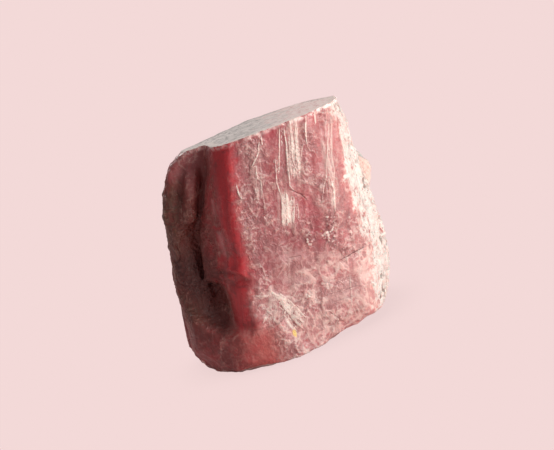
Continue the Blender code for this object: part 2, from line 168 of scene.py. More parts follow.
# Duller, darker patches of the front, and paler frosted ones.
DULL_BEDS = (
    (1.8, 1.0, (1.4, 22.0), (0.4, 17.8)),
    (1.0, 0.8, (4.6, 21.6), (3.4, 18.2)),
    (1.3, 1.0, (0.0, 12.2), (0.9, 10.8)),
    (1.3, 0.6, (6.6, 22.8), (5.4, 19.4)),
    (1.0, 0.6, (-0.8, 20.6), (-1.2, 17.4)),
    (0.7, 0.7, (8.9, 22.4), (8.2, 18.4)),
    (0.9, 0.5, (-2.2, 15.0), (-2.6, 12.0)),
    (0.9, 0.9, (0.4, 9.4), (3.4, 9.0)),
    (0.9, 0.9, (3.2, 11.6), (3.9, 9.8)),
    (0.9, 0.6, (-0.8, 11.0), (-0.6, 9.4)),
)
FROST_BEDS = (
    (0.9, 1.0, (-3.9, 3.7), (-3.2, 2.5)),
    (1.3, 1.0, (5.6, 2.4), (8.2, 4.2), (8.4, 6.6)),
    (0.8, 1.0, (1.4, 8.3), (5.6, 8.0)),
    (1.1, 1.0, (-0.6, 2.6), (2.6, 2.4)),
    (1.0, 0.6, (5.6, 16.6), (6.8, 13.8)),
    (0.8, 0.5, (3.6, 18.4), (4.6, 16.6)),
    (0.9, 0.9, (3.8, 4.7), (6.6, 4.4)),
    (1.1, 0.8, (0.8, 5.4), (3.6, 6.4)),
)
# Beds of dense fine lines along the growth axis.
SHEAVES = (
    (0.85, 1.0, (6.3, 23.4), (4.9, 19.0)),
    (0.75, 1.0, (3.0, 16.6), (2.2, 14.3)),
    (0.70, 0.6, (8.9, 20.0), (7.6, 14.2)),
    (0.60, 0.5, (10.2, 23.0), (9.4, 20.6)),
    (0.80, 0.5, (1.0, 22.0), (0.4, 18.0)),
)
# An edge on the front is a list of (z, x) from the base up.
# The edge of the upright side's pale crust and painted glare.
CRUST_GLARE_EDGE = (
    (0.0, 7.2), (3.1, 7.7), (5.8, 8.9), (8.5, 9.5), (12.2, 9.4), (13.6, 9.2), (16.1, 9.4), (17.2, 10.0),
    (19.9, 10.5), (24.0, 10.3),
)
BAND_LEFT = (
    (0.0, -7.2), (4.7, -6.9), (6.9, -6.8), (8.5, -6.5), (9.6, -6.1), (10.9, -5.8), (11.8, -5.6), (12.6, -4.5),
    (15.4, -4.5), (16.8, -4.4), (18.5, -3.9), (20.2, -3.5), (21.3, -3.3), (24.0, -3.2),
)
BAND_RIGHT = (
    (0.0, -5.0), (4.2, -4.2), (6.9, -4.5), (9.2, -3.8), (10.3, -3.3), (12.1, -3.2), (14.3, -3.0),
    (16.6, -2.7), (18.3, -2.4), (19.8, -1.8), (21.9, -1.0), (24.0, -0.4),
)
LOBE_LEFT = (
    (8.0, -7.0), (9.6, -7.3), (10.4, -7.9), (11.5, -7.9), (12.9, -7.5), (14.5, -7.2), (16.1, -6.7),
    (18.4, -5.8), (21.0, -4.9), (24.0, -4.0),
)
# The recess between the prism and its side column: points (x, y, z) along its floor.
RECESS = (
    (-3.7, -3.5, 22.2), (-4.7, -2.7, 20.5), (-6.4, -2.5, 17.3), (-7.5, -2.1, 15.5), (-7.9, -2.0, 13.6),
    (-8.2, -2.0, 11.4), (-8.2, -2.2, 9.6), (-8.2, -2.8, 7.8),
)
# Beds of painted shade on the foot's sloping part below the recess, on the front.
SLOPE_SHADE_BEDS = (
    (1.1, 0.90, (-8.6, 10.4), (-8.7, 8.6), (-9.0, 7.2), (-8.9, 6.0), (-8.2, 5.0)),
    (1.0, 0.4, (-11.2, 5.6), (-9.6, 4.4)),
    (0.8, 0.6, (-7.7, 13.2), (-7.4, 11.8), (-6.6, 10.4), (-5.4, 9.9)),
)
# Specks of dark rock on the upright side: points (x, y, z).
SPECKS = (
    (11.2, -3.5, 18.7), (11.0, -3.8, 18.0), (11.5, -2.4, 14.4), (11.5, -2.4, 13.8), (10.6, -3.7, 13.1),
    (11.2, -2.6, 9.1), (11.2, -2.0, 7.5), (9.8, -4.0, 4.1), (9.4, -4.1, 2.6), (8.9, -4.5, 2.1),
)
# The middles of the knob on the upright side, (x, y, z), and of the ochre fleck, (x, z), with the
# knob's reach and the fleck's half sizes.
KNOB = (12.2, -0.6, 15.3)
KNOB_REACH = 1.7
GOLD_FLECK = (-1.1, 2.5)
GOLD_SIZE = (0.7, 1.6)
# How far a dark speck's own field reaches.
SPECK_REACH = 0.8
# How far the recess's painted shade reaches, low and high up, with those heights.
RECESS_REACH = (3.0, 2.3)
RECESS_HEIGHTS = (11.0, 16.0)
# The softened floor of the recess, below its upper half: points (x, y, z), and how far the softening reaches.
SOFT_FLOOR = ((-9.6, -1.8, 12.5), (-9.2, -2.4, 10.0), (-8.9, -3.2, 8.0), (-8.4, -3.4, 6.6), (-8.2, -4.6, 5.2))
SOFT_REACH = 2.3
# Rock that fills the bottom of the recess beside the lobe: points (x, y, z), its half thickness and the step
# from one ball of it to the next.
RECESS_FILL = (
    (-8.6, -1.1, 14.6), (-8.8, -1.3, 12.6), (-8.7, -1.3, 11.6), (-8.5, -1.4, 10.4), (-8.1, -1.6, 9.0),
)
FILL_RADIUS = 0.75
FILL_STEP = 0.3

# ---------------------------------------------------------------- sizes and shares
# How far a line's own field reaches, in its half widths, and where a crumb's influence ends, in its
# half sizes.
FAR_SIDE = 6.0
FAR_CRUMB = 4.0
# The relaxing: each round's share, how near the rims it fades, how far it reaches round the recess, and the
# weight below which a point stays where it is.
MELT_SHARE = 0.55
MELT_RIM = 0.5
MELT_REACH = 2.6
LEAST_WEIGHT = 0.01
# Points this level and this near the top or the base, in mm, aren't relaxed. Round a crumb the relaxing
# grows from none to all between these gaps, in the crumb's half sizes.
FLAT_LEVEL, FLAT_DEPTH = 0.9, 0.2
CRUMB_GUARD = (1.0, 1.6)
# The relief is raised level nearer than the second of these distances from a rim, in mm, and along the
# normal farther than the first.
RIM_FAR, RIM_NEAR = 0.35, 0.1
# A crumb is a flattened ball of this many subdivisions and points. Its least and most stretch, and the crumbs
# per square mm, at most.
CRUMB_ROUNDNESS = 1
CRUMB_POINTS = 12
CRUMB_LEAST = (0.6, 0.6, 0.45)
CRUMB_MOST = (1.6, 1.3, 0.75)
CRUMB_DENSITY = 26.0
# Heights of the relief's parts, in mm.
RELIEF = {
    "swell": 0.04, "broad striae": 0.050, "fine striae": 0.030, "folds": 0.095, "column folds": 0.08,
    "grain": 0.015, "rock": 0.045, "crust": 0.050, "lines": 0.035, "cracks": 0.080, "fissures": 0.10,
    "specks": 0.04, "crumbs": 0.040, "ledge": 0.30, "rim": 0.10, "pale": 0.03, "cap grain": 0.014,
    "cap": 0.02, "base hollows": 0.22, "base grain": 0.03,
}
# The values of the skin that the materials read.
MASKS = (
    "line_side", "line_force", "crack_side", "crack_force", "fissures", "sheaf", "crumbs", "folds", "lumps",
    "clear", "patina", "pale", "dull", "frost", "band", "lobe", "crust_and_glare", "recess", "slope", "column", "foot",
    "specks", "stub", "gold",
)
# Faces this level and this near the top or the base, in mm, get their materials.
TOP_LEVEL, TOP_DEPTH = 0.6, 0.12
BASE_LEVEL, BASE_DEPTH = -0.5, 0.4
# Sizes of the skin's patterns, in metres, from the broadest to the finest, and how far two of them are drawn
# out along the growth axis.
CLOUD, BLOTCH, MOTTLE, GRAINS = 0.0034, 0.0014, 0.00070, 0.00038
SILK, STRIAE = 0.0011, 0.00034
DRAWN_OUT = 12.0
# The same for the top, the base and the mineral grain.
CAP_BROAD, CAP_FINE = 0.0016, 0.0006
BASE_CLOUD = 0.0035
COARSE_GRAIN, FINE_GRAIN = 0.0011, 0.00022
# How light scatters inside the stone: its reach for red, green and blue and that reach's size in metres.
# Then how strongly the skin refracts.
SCATTER = (1.0, 0.22, 0.20)
SCATTER_SIZE = 0.0016
REFRACTION = 1.5
# The stage, in metres: its floor, the shadow where the stone touches it, and the lamps as (offset from what
# they aim at, size, colour). The camera's sensor is in mm.
FLOOR_RADIUS = 6.0
CONTACT_REACH = 0.005
CONTACT_TONE = 0.92
KEY_LAMP = ((0.058, -0.050, 0.024), 0.050, (1.0, 0.96, 0.90))
REAR_LAMP = ((-0.05, 0.19, 0.12), 0.12, (1.0, 0.98, 0.96))
SENSOR_WIDTH = 36.0
CLIP = (0.01, 50.0)


# ---------------------------------------------------------------- numbers over the surface
def hashed(corner, seed):
    """A steady random value from 0 to 1 for each integer corner."""
    mask = np.int64(0xFFFFFFFF)
    value = corner[..., 0] * 374761393 + corner[..., 1] * 668265263 + corner[..., 2] * 1442695041
    value = (value + seed * 1274126177) & mask
    value = ((value ^ (value >> 15)) * 2246822519) & mask
    value = ((value ^ (value >> 13)) * 3266489917) & mask
    return ((value ^ (value >> 16)) & np.int64(0xFFFFFF)) / float(0xFFFFFF)


def value_noise(points, size, seed):
    """Smooth noise from -1 to 1 with features of that size."""
    scaled = points / size + 57.3
    cell = np.floor(scaled).astype(np.int64)
    part = scaled - cell
    part = part * part * part * (part * (part * 6 - 15) + 10)
    total = np.zeros(len(points))
    for x in (0, 1):
        for y in (0, 1):
            for z in (0, 1):
                share = (
                    (part[:, 0] if x else 1 - part[:, 0])
                    * (part[:, 1] if y else 1 - part[:, 1])
                    * (part[:, 2] if z else 1 - part[:, 2])
                )
                total += share * hashed(cell + np.array((x, y, z)), seed)
    return total * 2 - 1


def layered(points, size, seed, layers=3):
    """Noise of that size with finer layers, each half as strong."""
    total = np.zeros(len(points))
    weight = 1.0
    for layer in range(layers):
        total += weight * value_noise(points, size * 0.5**layer, seed + layer)
        weight *= 0.55
    return total


def creases(points, size, seed):
    """Thin winding lines: 1 on them, falling to 0 between."""
    bent = points + size * 0.6 * np.stack([value_noise(points, size * 1.3, seed + k) for k in (1, 2, 3)], -1)
    return np.clip(1 - np.abs(value_noise(bent, size, seed)) * 3.2, 0, 1)


def ramp(value, low, high):
    """0 at low, 1 at high, smooth between. low may be above high."""
    part = np.clip((value - low) / (high - low), 0, 1)
    return part * part * (3 - 2 * part)


def growth_frame(points):
    """The points with their third coordinate along the growth lines."""
    up = Vector(AXIS).normalized()
    side = Vector((1, 0, 0)).cross(up).normalized()
    across = up.cross(side).normalized()
    return points @ np.array([across, side, up]).T


def gap_to_path(points, path):
    """Distance to a path, how far along it from 0 to 1, and on which side of it a 2-D point is."""
    path = np.array(path, float)
    lengths = np.linalg.norm(path[1:] - path[:-1], axis=1)
    reached = np.concatenate([[0], np.cumsum(lengths)]) / lengths.sum()
    best = np.full(len(points), 1e9)
    along = np.zeros(len(points))
    side = np.ones(len(points))
    for k in range(len(path) - 1):
        step = path[k + 1] - path[k]
        away = points - path[k]
        share = np.clip(away @ step / (step @ step), 0, 1)
        gap = np.linalg.norm(away - share[:, None] * step, axis=1)
        nearer = gap < best
        best[nearer] = gap[nearer]
        along[nearer] = (reached[k] + share * (reached[k + 1] - reached[k]))[nearer]
        turn = np.where(step[0] * away[:, 1] > step[1] * away[:, 0], 1.0, -1.0)
        side[nearer] = turn[nearer]
    return best, along, side


def near_path(spots, path, reach):
    corners = np.array(path)
    return np.flatnonzero(np.all((spots > corners.min(0) - reach) & (spots < corners.max(0) + reach), axis=1))


def edge_at(place, edge):
    return np.interp(place, *zip(*edge))


def drawn(spots, beds):
    """How strongly the surface is covered by soft beds drawn on the front."""
    total = np.zeros(len(spots))
    for width, strength, *path in beds:
        inside = near_path(spots, path, width * 3)
        gap, _, _ = gap_to_path(spots[inside], path)
        total[inside] = np.maximum(total[inside], strength * np.exp(-((gap / width) ** 2)))
    return total


def sided(spots, lines):
    """Signed gap to the nearest drawn line, in its half widths, and that line's strength."""
    side = np.full(len(spots), FAR_SIDE)
    strength = np.zeros(len(spots))
    for width, force, *path in lines:
        inside = near_path(spots, path, width * FAR_SIDE)
        gap, along, turn = gap_to_path(spots[inside], path)
        gap = gap / (width * (0.4 + 0.6 * np.sqrt(np.clip(5 * along * (1 - along), 0, 1))))
        nearer = gap < np.abs(side[inside])
        inside = inside[nearer]
        side[inside] = (gap * turn)[nearer]
        strength[inside] = force
    strength *= ramp(np.abs(side), FAR_SIDE * 0.8, FAR_SIDE * 0.4)
    return np.clip(side, -FAR_SIDE, FAR_SIDE), strength


def crest(side, strength):
    """Height of a drawn line from its signed gap."""
    return strength * np.exp(-((side * 0.9) ** 2))


class Skin:
    """Everything that varies over the stone's skin, worked out from points and normals."""

    def __init__(self, points, normals, seed, crumbs=None):
        self.points = points
        self.normals = normals
        self.grown = growth_frame(points)
        self.seed = seed
        x, y, z = points.T
        self.top = ramp(normals[:, 2], 0.6, 0.9) * ramp(z, HEIGHT - 0.5, HEIGHT - 0.25)
        self.base = ramp(-normals[:, 2], 0.6, 0.9) * ramp(z, 0.5, 0.25)
        self.side = 1 - np.maximum(self.top, self.base)
        self.front = ramp(-normals[:, 1], 0.05, 0.45) * ramp(y, -1.5, -3.5)
        sway = np.stack([self.noise(1.1, 11), self.noise(1.1, 12)], -1)
        self.spots = np.stack([x, z], -1) + 0.05 * sway
        self.line_side, self.line_force = sided(self.spots, GROWTH_LINES + SCALES)
        self.crack_side, self.crack_force = sided(self.spots, CRACKS)
        self.line_force *= self.front * self.side
        self.crack_force *= self.front * self.side
        self.clear = self.clear_zones()
        self.band = self.red_band()
        self.lobe = self.flank_lobe()
        self.column = self.brown_column()
        foot_top = np.interp(x, (-8.0, -6.5), (9.0, 5.4))
        self.foot = ramp(z, foot_top, foot_top - 2) * ramp(x, -1.5, -4.5)
        # Nearness to the recess, where painted shade goes.
        reach = np.interp(z, RECESS_HEIGHTS, RECESS_REACH)
        self.recess = np.exp(-((gap_to_path(points, RECESS)[0] / reach) ** 2))
        self.slope = self.painted_slope_shade()
        self.patina = self.grey_veil()
        self.pale = self.bedded(PALE_PATCHES)
        self.dull = self.bedded(DULL_BEDS)
        self.frost = self.bedded(FROST_BEDS)
        self.sheaf = self.bedded(SHEAVES) * self.side
        self.crust_and_glare = self.pale_crust()
        self.crumbs = self.crumb_beds()
        self.folds = self.winding_folds()
        self.lumps = ramp(self.crumb_gap(crumbs), 1.15, 0.75)
        self.specks = self.dark_specks()
        self.stub = ramp(np.linalg.norm((points - KNOB) / (1, 1, 1.4), axis=1), KNOB_REACH, 0.9)
        self.gold = self.front * ramp(np.linalg.norm((self.spots - GOLD_FLECK) / GOLD_SIZE, axis=1), 0.5, 0.0)
        self.fissures = self.long_cracks()

    def noise(self, size, offset, layers=1):
        return layered(self.points, size, self.seed + offset, layers)

    def bedded(self, beds):
        """How strongly the front is covered by these beds."""
        return self.front * drawn(self.spots, beds)

    def long_noise(self, across, along, offset):
        """Noise drawn out along the growth lines."""
        return value_noise(self.grown / np.array((across, across, along)), 1.0, self.seed + offset)

    def clear_zones(self):
        """Clean red windows in the skin."""
        zones = self.bedded(CLEAR_ZONES)
        wild = ramp(self.noise(2.6, 41, 3), 0.0, 0.6) * (1 - 0.55 * self.front)
        return np.clip(np.maximum(zones, 0.8 * wild), 0, 1)

    def red_band(self):
        """The smooth deep red band beside the front ridge."""
        x, _, z = self.points.T
        wave = 0.25 * self.noise(1.6, 46)
        left = edge_at(z, BAND_LEFT) + wave
        right = edge_at(z, BAND_RIGHT) + wave
        ragged = 0.35 * self.noise(0.6, 47, 2)
        across = ramp(x, left - 0.5, left + 0.5) * ramp(x + ragged, right + 1.0, right - 1.0)
        return across * self.front * ramp(z, 3.4, 4.8)

    def flank_lobe(self):
        """The brown-red lobe between the band and the recess."""
        x, _, z = self.points.T
        right = edge_at(z, BAND_LEFT)
        left = edge_at(z, LOBE_LEFT)
        across = ramp(x, right + 0.4, right - 0.4) * ramp(x, left - 0.4, left + 0.3)
        return self.front * across * ramp(z, 7.4, 9.4)

    def painted_slope_shade(self):
        """Painted shade on the slopes below the ledge and the recess, and on the recess's softened floor."""
        z = self.points[:, 2]
        floor = ramp(gap_to_path(self.points, SOFT_FLOOR)[0], 2.4, 1.0)
        floor *= ramp(z, 7.0, 9.0) * ramp(z, 14.5, 12.0)
        # Painted shade on the beds, and a painted shadow just below the ledge.
        front = np.maximum(self.bedded(SLOPE_SHADE_BEDS), 0.5 * self.below_ledge())
        return np.maximum(front, floor)

    def brown_column(self):
        """The grey-brown side column and its ribs."""
        x, _, z = self.points.T
        across = ramp(x + 0.5 * self.noise(1.8, 55), -5.4, -7.4) * (1 - self.lobe)
        across *= 1 - 0.6 * ramp(z, 20.6, 22.0) * ramp(x, -9.4, -8.0)
        return across * ramp(z + 0.8 * self.noise(1.5, 56), 4.2, 7.6)

    def grey_veil(self):
        """The greyish veil of fine winding lines."""
        field = layered(self.points / np.array((1, 1, 1.3)), 2.1, self.seed + 45)
        veil = np.maximum(0.25 + 0.75 * ramp(field, -0.45, 0.4), self.bedded(VEIL_BEDS))
        return np.clip(veil * (1 - 0.85 * self.clear) * (1 - self.band) * (1 - 0.5 * self.foot), 0, 1)

    def pale_crust(self):
        """The bright crust of the upright side, partly painted glare on the faces turned to the key light:
        above 0.5 inside its edge.
        """
        x, y, z = self.points.T
        edge = edge_at(z, CRUST_GLARE_EDGE) + 0.5 * self.noise(1.1, 51, 2)
        frontal = np.clip((x - edge) / 2.2 + 0.5, 0, 1)
        flank = ramp(self.normals[:, 0], 0.2, 0.6)
        return frontal * flank * ramp(y, 5.5, 1.0) * self.side

    def crumb_beds(self):
        bed = self.bedded(CRUMB_BEDS)
        wild = ramp(self.noise(2.2, 31, 3), 0.45, 0.9) * (1 - self.front) * 0.6
        bed = bed * ramp(self.noise(0.9, 33, 2), -0.5, 0.2)
        return np.maximum(bed, wild) * self.side * (1 - self.column)

    def winding_folds(self):
        """Thin raised folds that wind over the skin: 1 on them, 0 between."""
        broad = creases(self.points, 1.15, self.seed + 74)
        middle = creases(self.points, 0.80, self.seed + 78)
        fine = creases(self.points, 0.55, self.seed + 88)
        return 0.26 * broad + 0.38 * middle + 0.36 * fine

    def crumb_gap(self, crumbs):
        """Distance to the nearest crumb's middle, in that crumb's half sizes."""
        gap = np.full(len(self.points), FAR_CRUMB)
        if crumbs is None:
            return gap
        middles, sizes = crumbs
        tree = KDTree(len(middles))
        for k, middle in enumerate(middles):
            tree.insert(middle, k)
        tree.balance()
        for k in np.flatnonzero(self.crumbs > 0.02):
            _, nearest, distance = tree.find(self.points[k])
            gap[k] = min(FAR_CRUMB, distance / sizes[nearest])
        return gap

    def dark_specks(self):
        """Nearness to the specks of dark rock: 1 at a speck's middle."""
        total = np.zeros(len(self.points))
        for place in SPECKS:
            gap = np.linalg.norm((self.points - place) / (1, 1, 1.5), axis=1)
            total = np.maximum(total, 1 - gap / SPECK_REACH)
        return np.clip(total, 0, 1)

    def below_ledge(self):
        """1 just below the flank's ledge, fading downwards."""
        x, _, z = self.points.T
        drop = edge_at(x, LEDGE) + 0.30 * self.noise(0.9, 91) - z
        return ramp(drop, -0.1, 0.5) * ramp(drop, 2.4, 0.6) * np.clip(self.band + self.lobe, 0, 1)

    def long_cracks(self):
        """A few long cracks round the sides and the back: 1 on them."""
        bent = self.points + 0.5 * self.noise(1.7, 35)[:, None]
        sheet = np.abs(layered(bent / np.array((1, 1, 0.55)), 5.5, self.seed + 36, 2))
        quiet = np.clip(0.9 * self.front + self.crust_and_glare + self.stub, 0, 1)
        return ramp(sheet, 0.03, 0.0) * (1 - quiet) * self.side

    def relief(self):
        """Height of the relief along the normal, in mm."""
        smooth = np.clip(self.band + 0.7 * self.foot, 0, 1)
        rough = 1 - 0.75 * smooth
        folds = RELIEF["folds"] * (0.4 + 0.6 * self.patina) * rough * (1 - 0.8 * self.pale)
        rock = np.maximum(self.column, 0.4 * self.foot)
        rim = ramp(self.points[:, 2], HEIGHT - 1.0, HEIGHT - 0.3)
        height = RELIEF["swell"] * self.noise(2.6, 71, 3)
        height += RELIEF["broad striae"] * rough * self.long_noise(0.60, 5.0, 72)
        height += RELIEF["fine striae"] * rough * self.long_noise(0.33, 3.0, 73)
        height += (folds + RELIEF["column folds"] * self.column) * (self.folds - 0.3)
        height += RELIEF["grain"] * self.noise(0.45, 75, 2)
        height += RELIEF["rock"] * rock * self.noise(0.8, 76, 2)
        height += RELIEF["crust"] * self.crust_and_glare * self.noise(0.7, 77, 2)
        height += RELIEF["lines"] * crest(self.line_side, self.line_force)
        height -= RELIEF["cracks"] * crest(self.crack_side, self.crack_force)
        height -= RELIEF["fissures"] * self.fissures
        height -= RELIEF["specks"] * ramp(self.specks, 0.6, 0.85)
        height += RELIEF["crumbs"] * self.crumbs * (self.lumps - 0.45)
        height -= RELIEF["ledge"] * self.below_ledge()
        height += RELIEF["rim"] * rim * self.noise(0.7, 89, 2)
        return height + RELIEF["pale"] * self.pale

    def cap_relief(self):
        """The flat top's grain."""
        return RELIEF["cap grain"] * self.noise(0.4, 81, 2) - RELIEF["cap"]

    def base_relief(self):
        """How far the broken base stands up from the plane it rests on."""
        hollows = RELIEF["base hollows"] * ramp(self.noise(2.4, 85, 3), -0.05, 0.8)
        return hollows + RELIEF["base grain"] * np.clip(self.noise(0.5, 86), 0, 1)

    def masks(self):
        """The values that the materials read, each from 0 to 1."""
        values = {name: getattr(self, name) for name in MASKS}
        for name in ("line_side", "crack_side"):
            values[name] = values[name] / FAR_SIDE * 0.5 + 0.5
        return values


# ---------------------------------------------------------------- mesh helpers
def read(items, name, width=3, kind=np.float32):
    """One value of all the items, as an array with a row for each."""
    values = np.empty(len(items) * width, kind)
    items.foreach_get(name, values)
    return values.reshape(-1, width)


def arrays(mesh):
    """Points, normals and edges of a mesh as arrays."""
    points = read(mesh.vertices, "co").astype(float)
    normals = read(mesh.vertex_normals, "vector").astype(float)
    return points, normals, read(mesh.edges, "vertices", 2, np.int32)


def store(mesh, name, values):
    """The values, one for each point, as an attribute of the mesh."""
    attribute = mesh.attributes.new(name, "FLOAT", "POINT")
    attribute.data.foreach_set("value", values.astype(np.float32))


def set_points(mesh, points):
    mesh.vertices.foreach_set("co", points.astype(np.float32).ravel())
    mesh.update()


def relaxed(points, edges, weights, rounds):
    """The points drawn towards their neighbours' middle, by each point's weight."""
    moving = weights > LEAST_WEIGHT
    edges = edges[moving[edges].any(axis=1)]
    kept, edges = np.unique(edges, return_inverse=True)
    edges = edges.reshape(-1, 2)
    near = points[kept]
    pull = (weights * moving)[kept][:, None]
    count = np.bincount(edges.ravel(), minlength=len(near))[:, None]
    for _ in range(rounds):
        total = np.stack(
            [
                np.bincount(edges[:, 0], near[edges[:, 1], k], len(near))
                + np.bincount(edges[:, 1], near[edges[:, 0], k], len(near))
                for k in range(3)
            ],
            -1,
        )
        near = near + pull * (total / count - near)
    points = points.copy()
    points[kept] = near
    return points


def evaluated(mesh, kind, settings):
    """The mesh after one modifier, its settings given by name or by socket identifier."""
    holder = bpy.data.objects.new(kind, mesh)
    bpy.context.scene.collection.objects.link(holder)
    modifier = holder.modifiers.new(kind, kind)
    for key, value in settings.items():
        if hasattr(modifier, key):
            setattr(modifier, key, value)
        else:
            modifier[key] = value
    graph = bpy.context.evaluated_depsgraph_get()
    made = bpy.data.meshes.new_from_object(holder.evaluated_get(graph), depsgraph=graph)
    bpy.data.objects.remove(holder)
    return made


def copied_solid():
    """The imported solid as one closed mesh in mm."""
    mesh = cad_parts[NODE].data.copy()
    shape = bmesh.new()
    shape.from_mesh(mesh)
    bmesh.ops.remove_doubles(shape, verts=shape.verts, dist=1e-6)
    bmesh.ops.scale(shape, vec=(1 / MM,) * 3, verts=shape.verts)
    for face in shape.faces:
        face.smooth = True
    shape.to_mesh(mesh)
    shape.free()
    mesh.materials.clear()
    return mesh


def rim_of_top(points, top):
    """1 at the outline of the flat top, falling to 0 inwards and down the sides."""
    high = points[:, 2] > HEIGHT - 0.6
    outside = np.flatnonzero(high & (top < 0.5))
    inside = np.flatnonzero(high & (top >= 0.5))
    tree = KDTree(len(outside))
    for k in outside:
        tree.insert(points[k], int(k))
    tree.balance()
    rim = np.zeros(len(points))
    rim[inside] = [ramp(tree.find(points[k])[2], 1.1, 0.4) for k in inside]
    return rim


def crumb_tree():
    """The node tree that grows crumbs: small lumps half sunk in a surface, thick where its attribute says."""
    inputs = {"Surface": "Geometry", "Spacing": "Float", "Size": "Float", "Seed": "Int"}
    inputs["Material"] = "Material"
    tree, net, source = new_group("Crumbs", "GeometryNodeTree", inputs, {"Crumbs": "Geometry"})
    tree.is_modifier = True
    bed = net.add("GeometryNodeInputNamedAttribute", {"Name": "crumbs"}, data_type="FLOAT")
    scattering = {
        "Mesh": source["Surface"],
        "Distance Min": source["Spacing"],
        "Density Max": CRUMB_DENSITY,
        "Density Factor": bed.outputs["Attribute"],
        "Seed": source["Seed"],
    }
    spread = net.add("GeometryNodeDistributePointsOnFaces", scattering, distribute_method="POISSON").outputs
    ball = net.add("GeometryNodeMeshIcoSphere", {"Subdivisions": CRUMB_ROUNDNESS, "Radius": source["Size"]})
    stretch = {0: CRUMB_LEAST, 1: CRUMB_MOST, "Seed": source["Seed"]}
    scale = net.add("FunctionNodeRandomValue", stretch, data_type="FLOAT_VECTOR").outputs[0]
    placing = {
        "Points": spread["Points"],
        "Instance": ball.outputs["Mesh"],
        "Rotation": spread["Rotation"],
        "Scale": scale,
    }
    placed = net.add("GeometryNodeInstanceOnPoints", placing).outputs["Instances"]
    whole = net.add("GeometryNodeRealizeInstances", {"Geometry": placed}).outputs["Geometry"]
    painted = net.add("GeometryNodeSetMaterial", {"Geometry": whole, "Material": source["Material"]})
    net.add("NodeGroupOutput", {"Crumbs": painted.outputs["Geometry"]})
    return tree


def grown_crumbs(solid, settings, material):
    """A mesh of crumbs over the solid, and each crumb's middle and half size."""
    points, normals, _ = arrays(solid)
    store(solid, "crumbs", ramp(Skin(points, normals, settings.seed).crumbs, 0.2, 0.6))
    tree = crumb_tree()
    values = {
        "Spacing": settings.crumb_spacing / MM,
        "Size": settings.crumb_size / MM,
        "Seed": settings.seed,
        "Material": material,
    }
    sockets = {socket.name: socket.identifier for socket in tree.interface.items_tree}
    inputs = {sockets[name]: value for name, value in values.items()}
    crumbs = evaluated(solid, "NODES", {"node_group": tree, **inputs})
    places = arrays(crumbs)[0].reshape(-1, CRUMB_POINTS, 3)
    middles = places.mean(axis=1)
    sizes = np.linalg.norm(places - middles[:, None], axis=2).max(axis=1)
    return crumbs, middles, sizes


def joined(first, second):
    """Both meshes in the first one."""
    shape = bmesh.new()
    shape.from_mesh(first)
    shape.from_mesh(second)
    shape.to_mesh(first)
    shape.free()
    bpy.data.meshes.remove(second)
    return first


def recess_fill():
    """A row of balls that makes the bottom of the recess shallower."""
    shape = bmesh.new()
    path = np.array(RECESS_FILL)
    for start, end in zip(path[:-1], path[1:]):
        count = int(np.ceil(np.linalg.norm(end - start) / FILL_STEP))
        for k in range(count + 1):
            place = Matrix.Translation(start + (end - start) * k / count)
            bmesh.ops.create_icosphere(shape, subdivisions=2, radius=FILL_RADIUS, matrix=place)
    mesh = bpy.data.meshes.new("recess_fill")
    shape.to_mesh(mesh)
    shape.free()
    return mesh


def melted(mesh, settings, crumbs):
    """Relaxes the facets, but not the rims, the flat ends or the crumbs, and most of all the recess."""
    points, normals, edges = arrays(mesh)
    z = points[:, 2]
    rim = np.clip(np.minimum(np.abs(z - HEIGHT), np.abs(z)) / MELT_RIM, 0, 1)
    flat = (np.abs(normals[:, 2]) > FLAT_LEVEL) & ((z > HEIGHT - FLAT_DEPTH) | (z < FLAT_DEPTH))
    bare = ramp(Skin(points, normals, settings.seed).crumb_gap(crumbs), *CRUMB_GUARD)
    weights = np.where(flat, 0.0, MELT_SHARE * rim) * bare
    points = relaxed(points, edges, weights, settings.melt)
    for path, reach, rounds in (
        (RECESS, MELT_REACH, settings.recess_melt), (SOFT_FLOOR, SOFT_REACH, settings.floor_melt)
    ):
        near = np.exp(-((gap_to_path(points, path)[0] / reach) ** 2))
        points = relaxed(points, edges, weights * near, rounds)
    set_points(mesh, points)


def carved(mesh, settings, crumbs):
    """Raises the relief. Near the rims it is raised level, so that the ends stay flat."""
    points, normals, _ = arrays(mesh)
    skin = Skin(points, normals, settings.seed, crumbs)
    outward = normals * (1, 1, 0)
    outward /= np.maximum(np.linalg.norm(outward, axis=1), 0.2)[:, None]
    z = points[:, 2]
    top_rim = ramp(z, HEIGHT - RIM_FAR, HEIGHT - RIM_NEAR)
    near_rim = np.maximum(top_rim, ramp(z, RIM_FAR, RIM_NEAR))[:, None]
    direction = normals * (1 - near_rim) + outward * near_rim
    points = points + direction * (settings.relief * skin.side * skin.relief())[:, None]
    points[:, 2] += skin.top * skin.cap_relief() + skin.base * skin.base_relief()
    points[:, 2] = np.clip(points[:, 2], 0, HEIGHT)
    set_points(mesh, points)


def stone_mesh(settings, material):
    """The finely carved stone in metres, with its masks as attributes."""
    solid = copied_solid()
    lumps, *crumbs = grown_crumbs(solid, settings, material)
    whole = joined(joined(solid, recess_fill()), lumps)
    cells = {"mode": "VOXEL", "voxel_size": settings.voxel / MM, "adaptivity": 0.0}
    mesh = evaluated(whole, "REMESH", cells)
    melted(mesh, settings, crumbs)
    carved(mesh, settings, crumbs)
    triangles = sum(len(face.vertices) - 2 for face in mesh.polygons)
    mesh = evaluated(mesh, "DECIMATE", {"ratio": min(1.0, settings.triangles / triangles)})
    points, normals, _ = arrays(mesh)
    skin = Skin(points, normals, settings.seed, crumbs)
    for name, values in skin.masks().items():
        store(mesh, name, np.clip(values, 0, 1))
    store(mesh, "rim", rim_of_top(points, skin.top))
    set_points(mesh, points * MM)
    mesh.name = "raw_ruby"
    return mesh


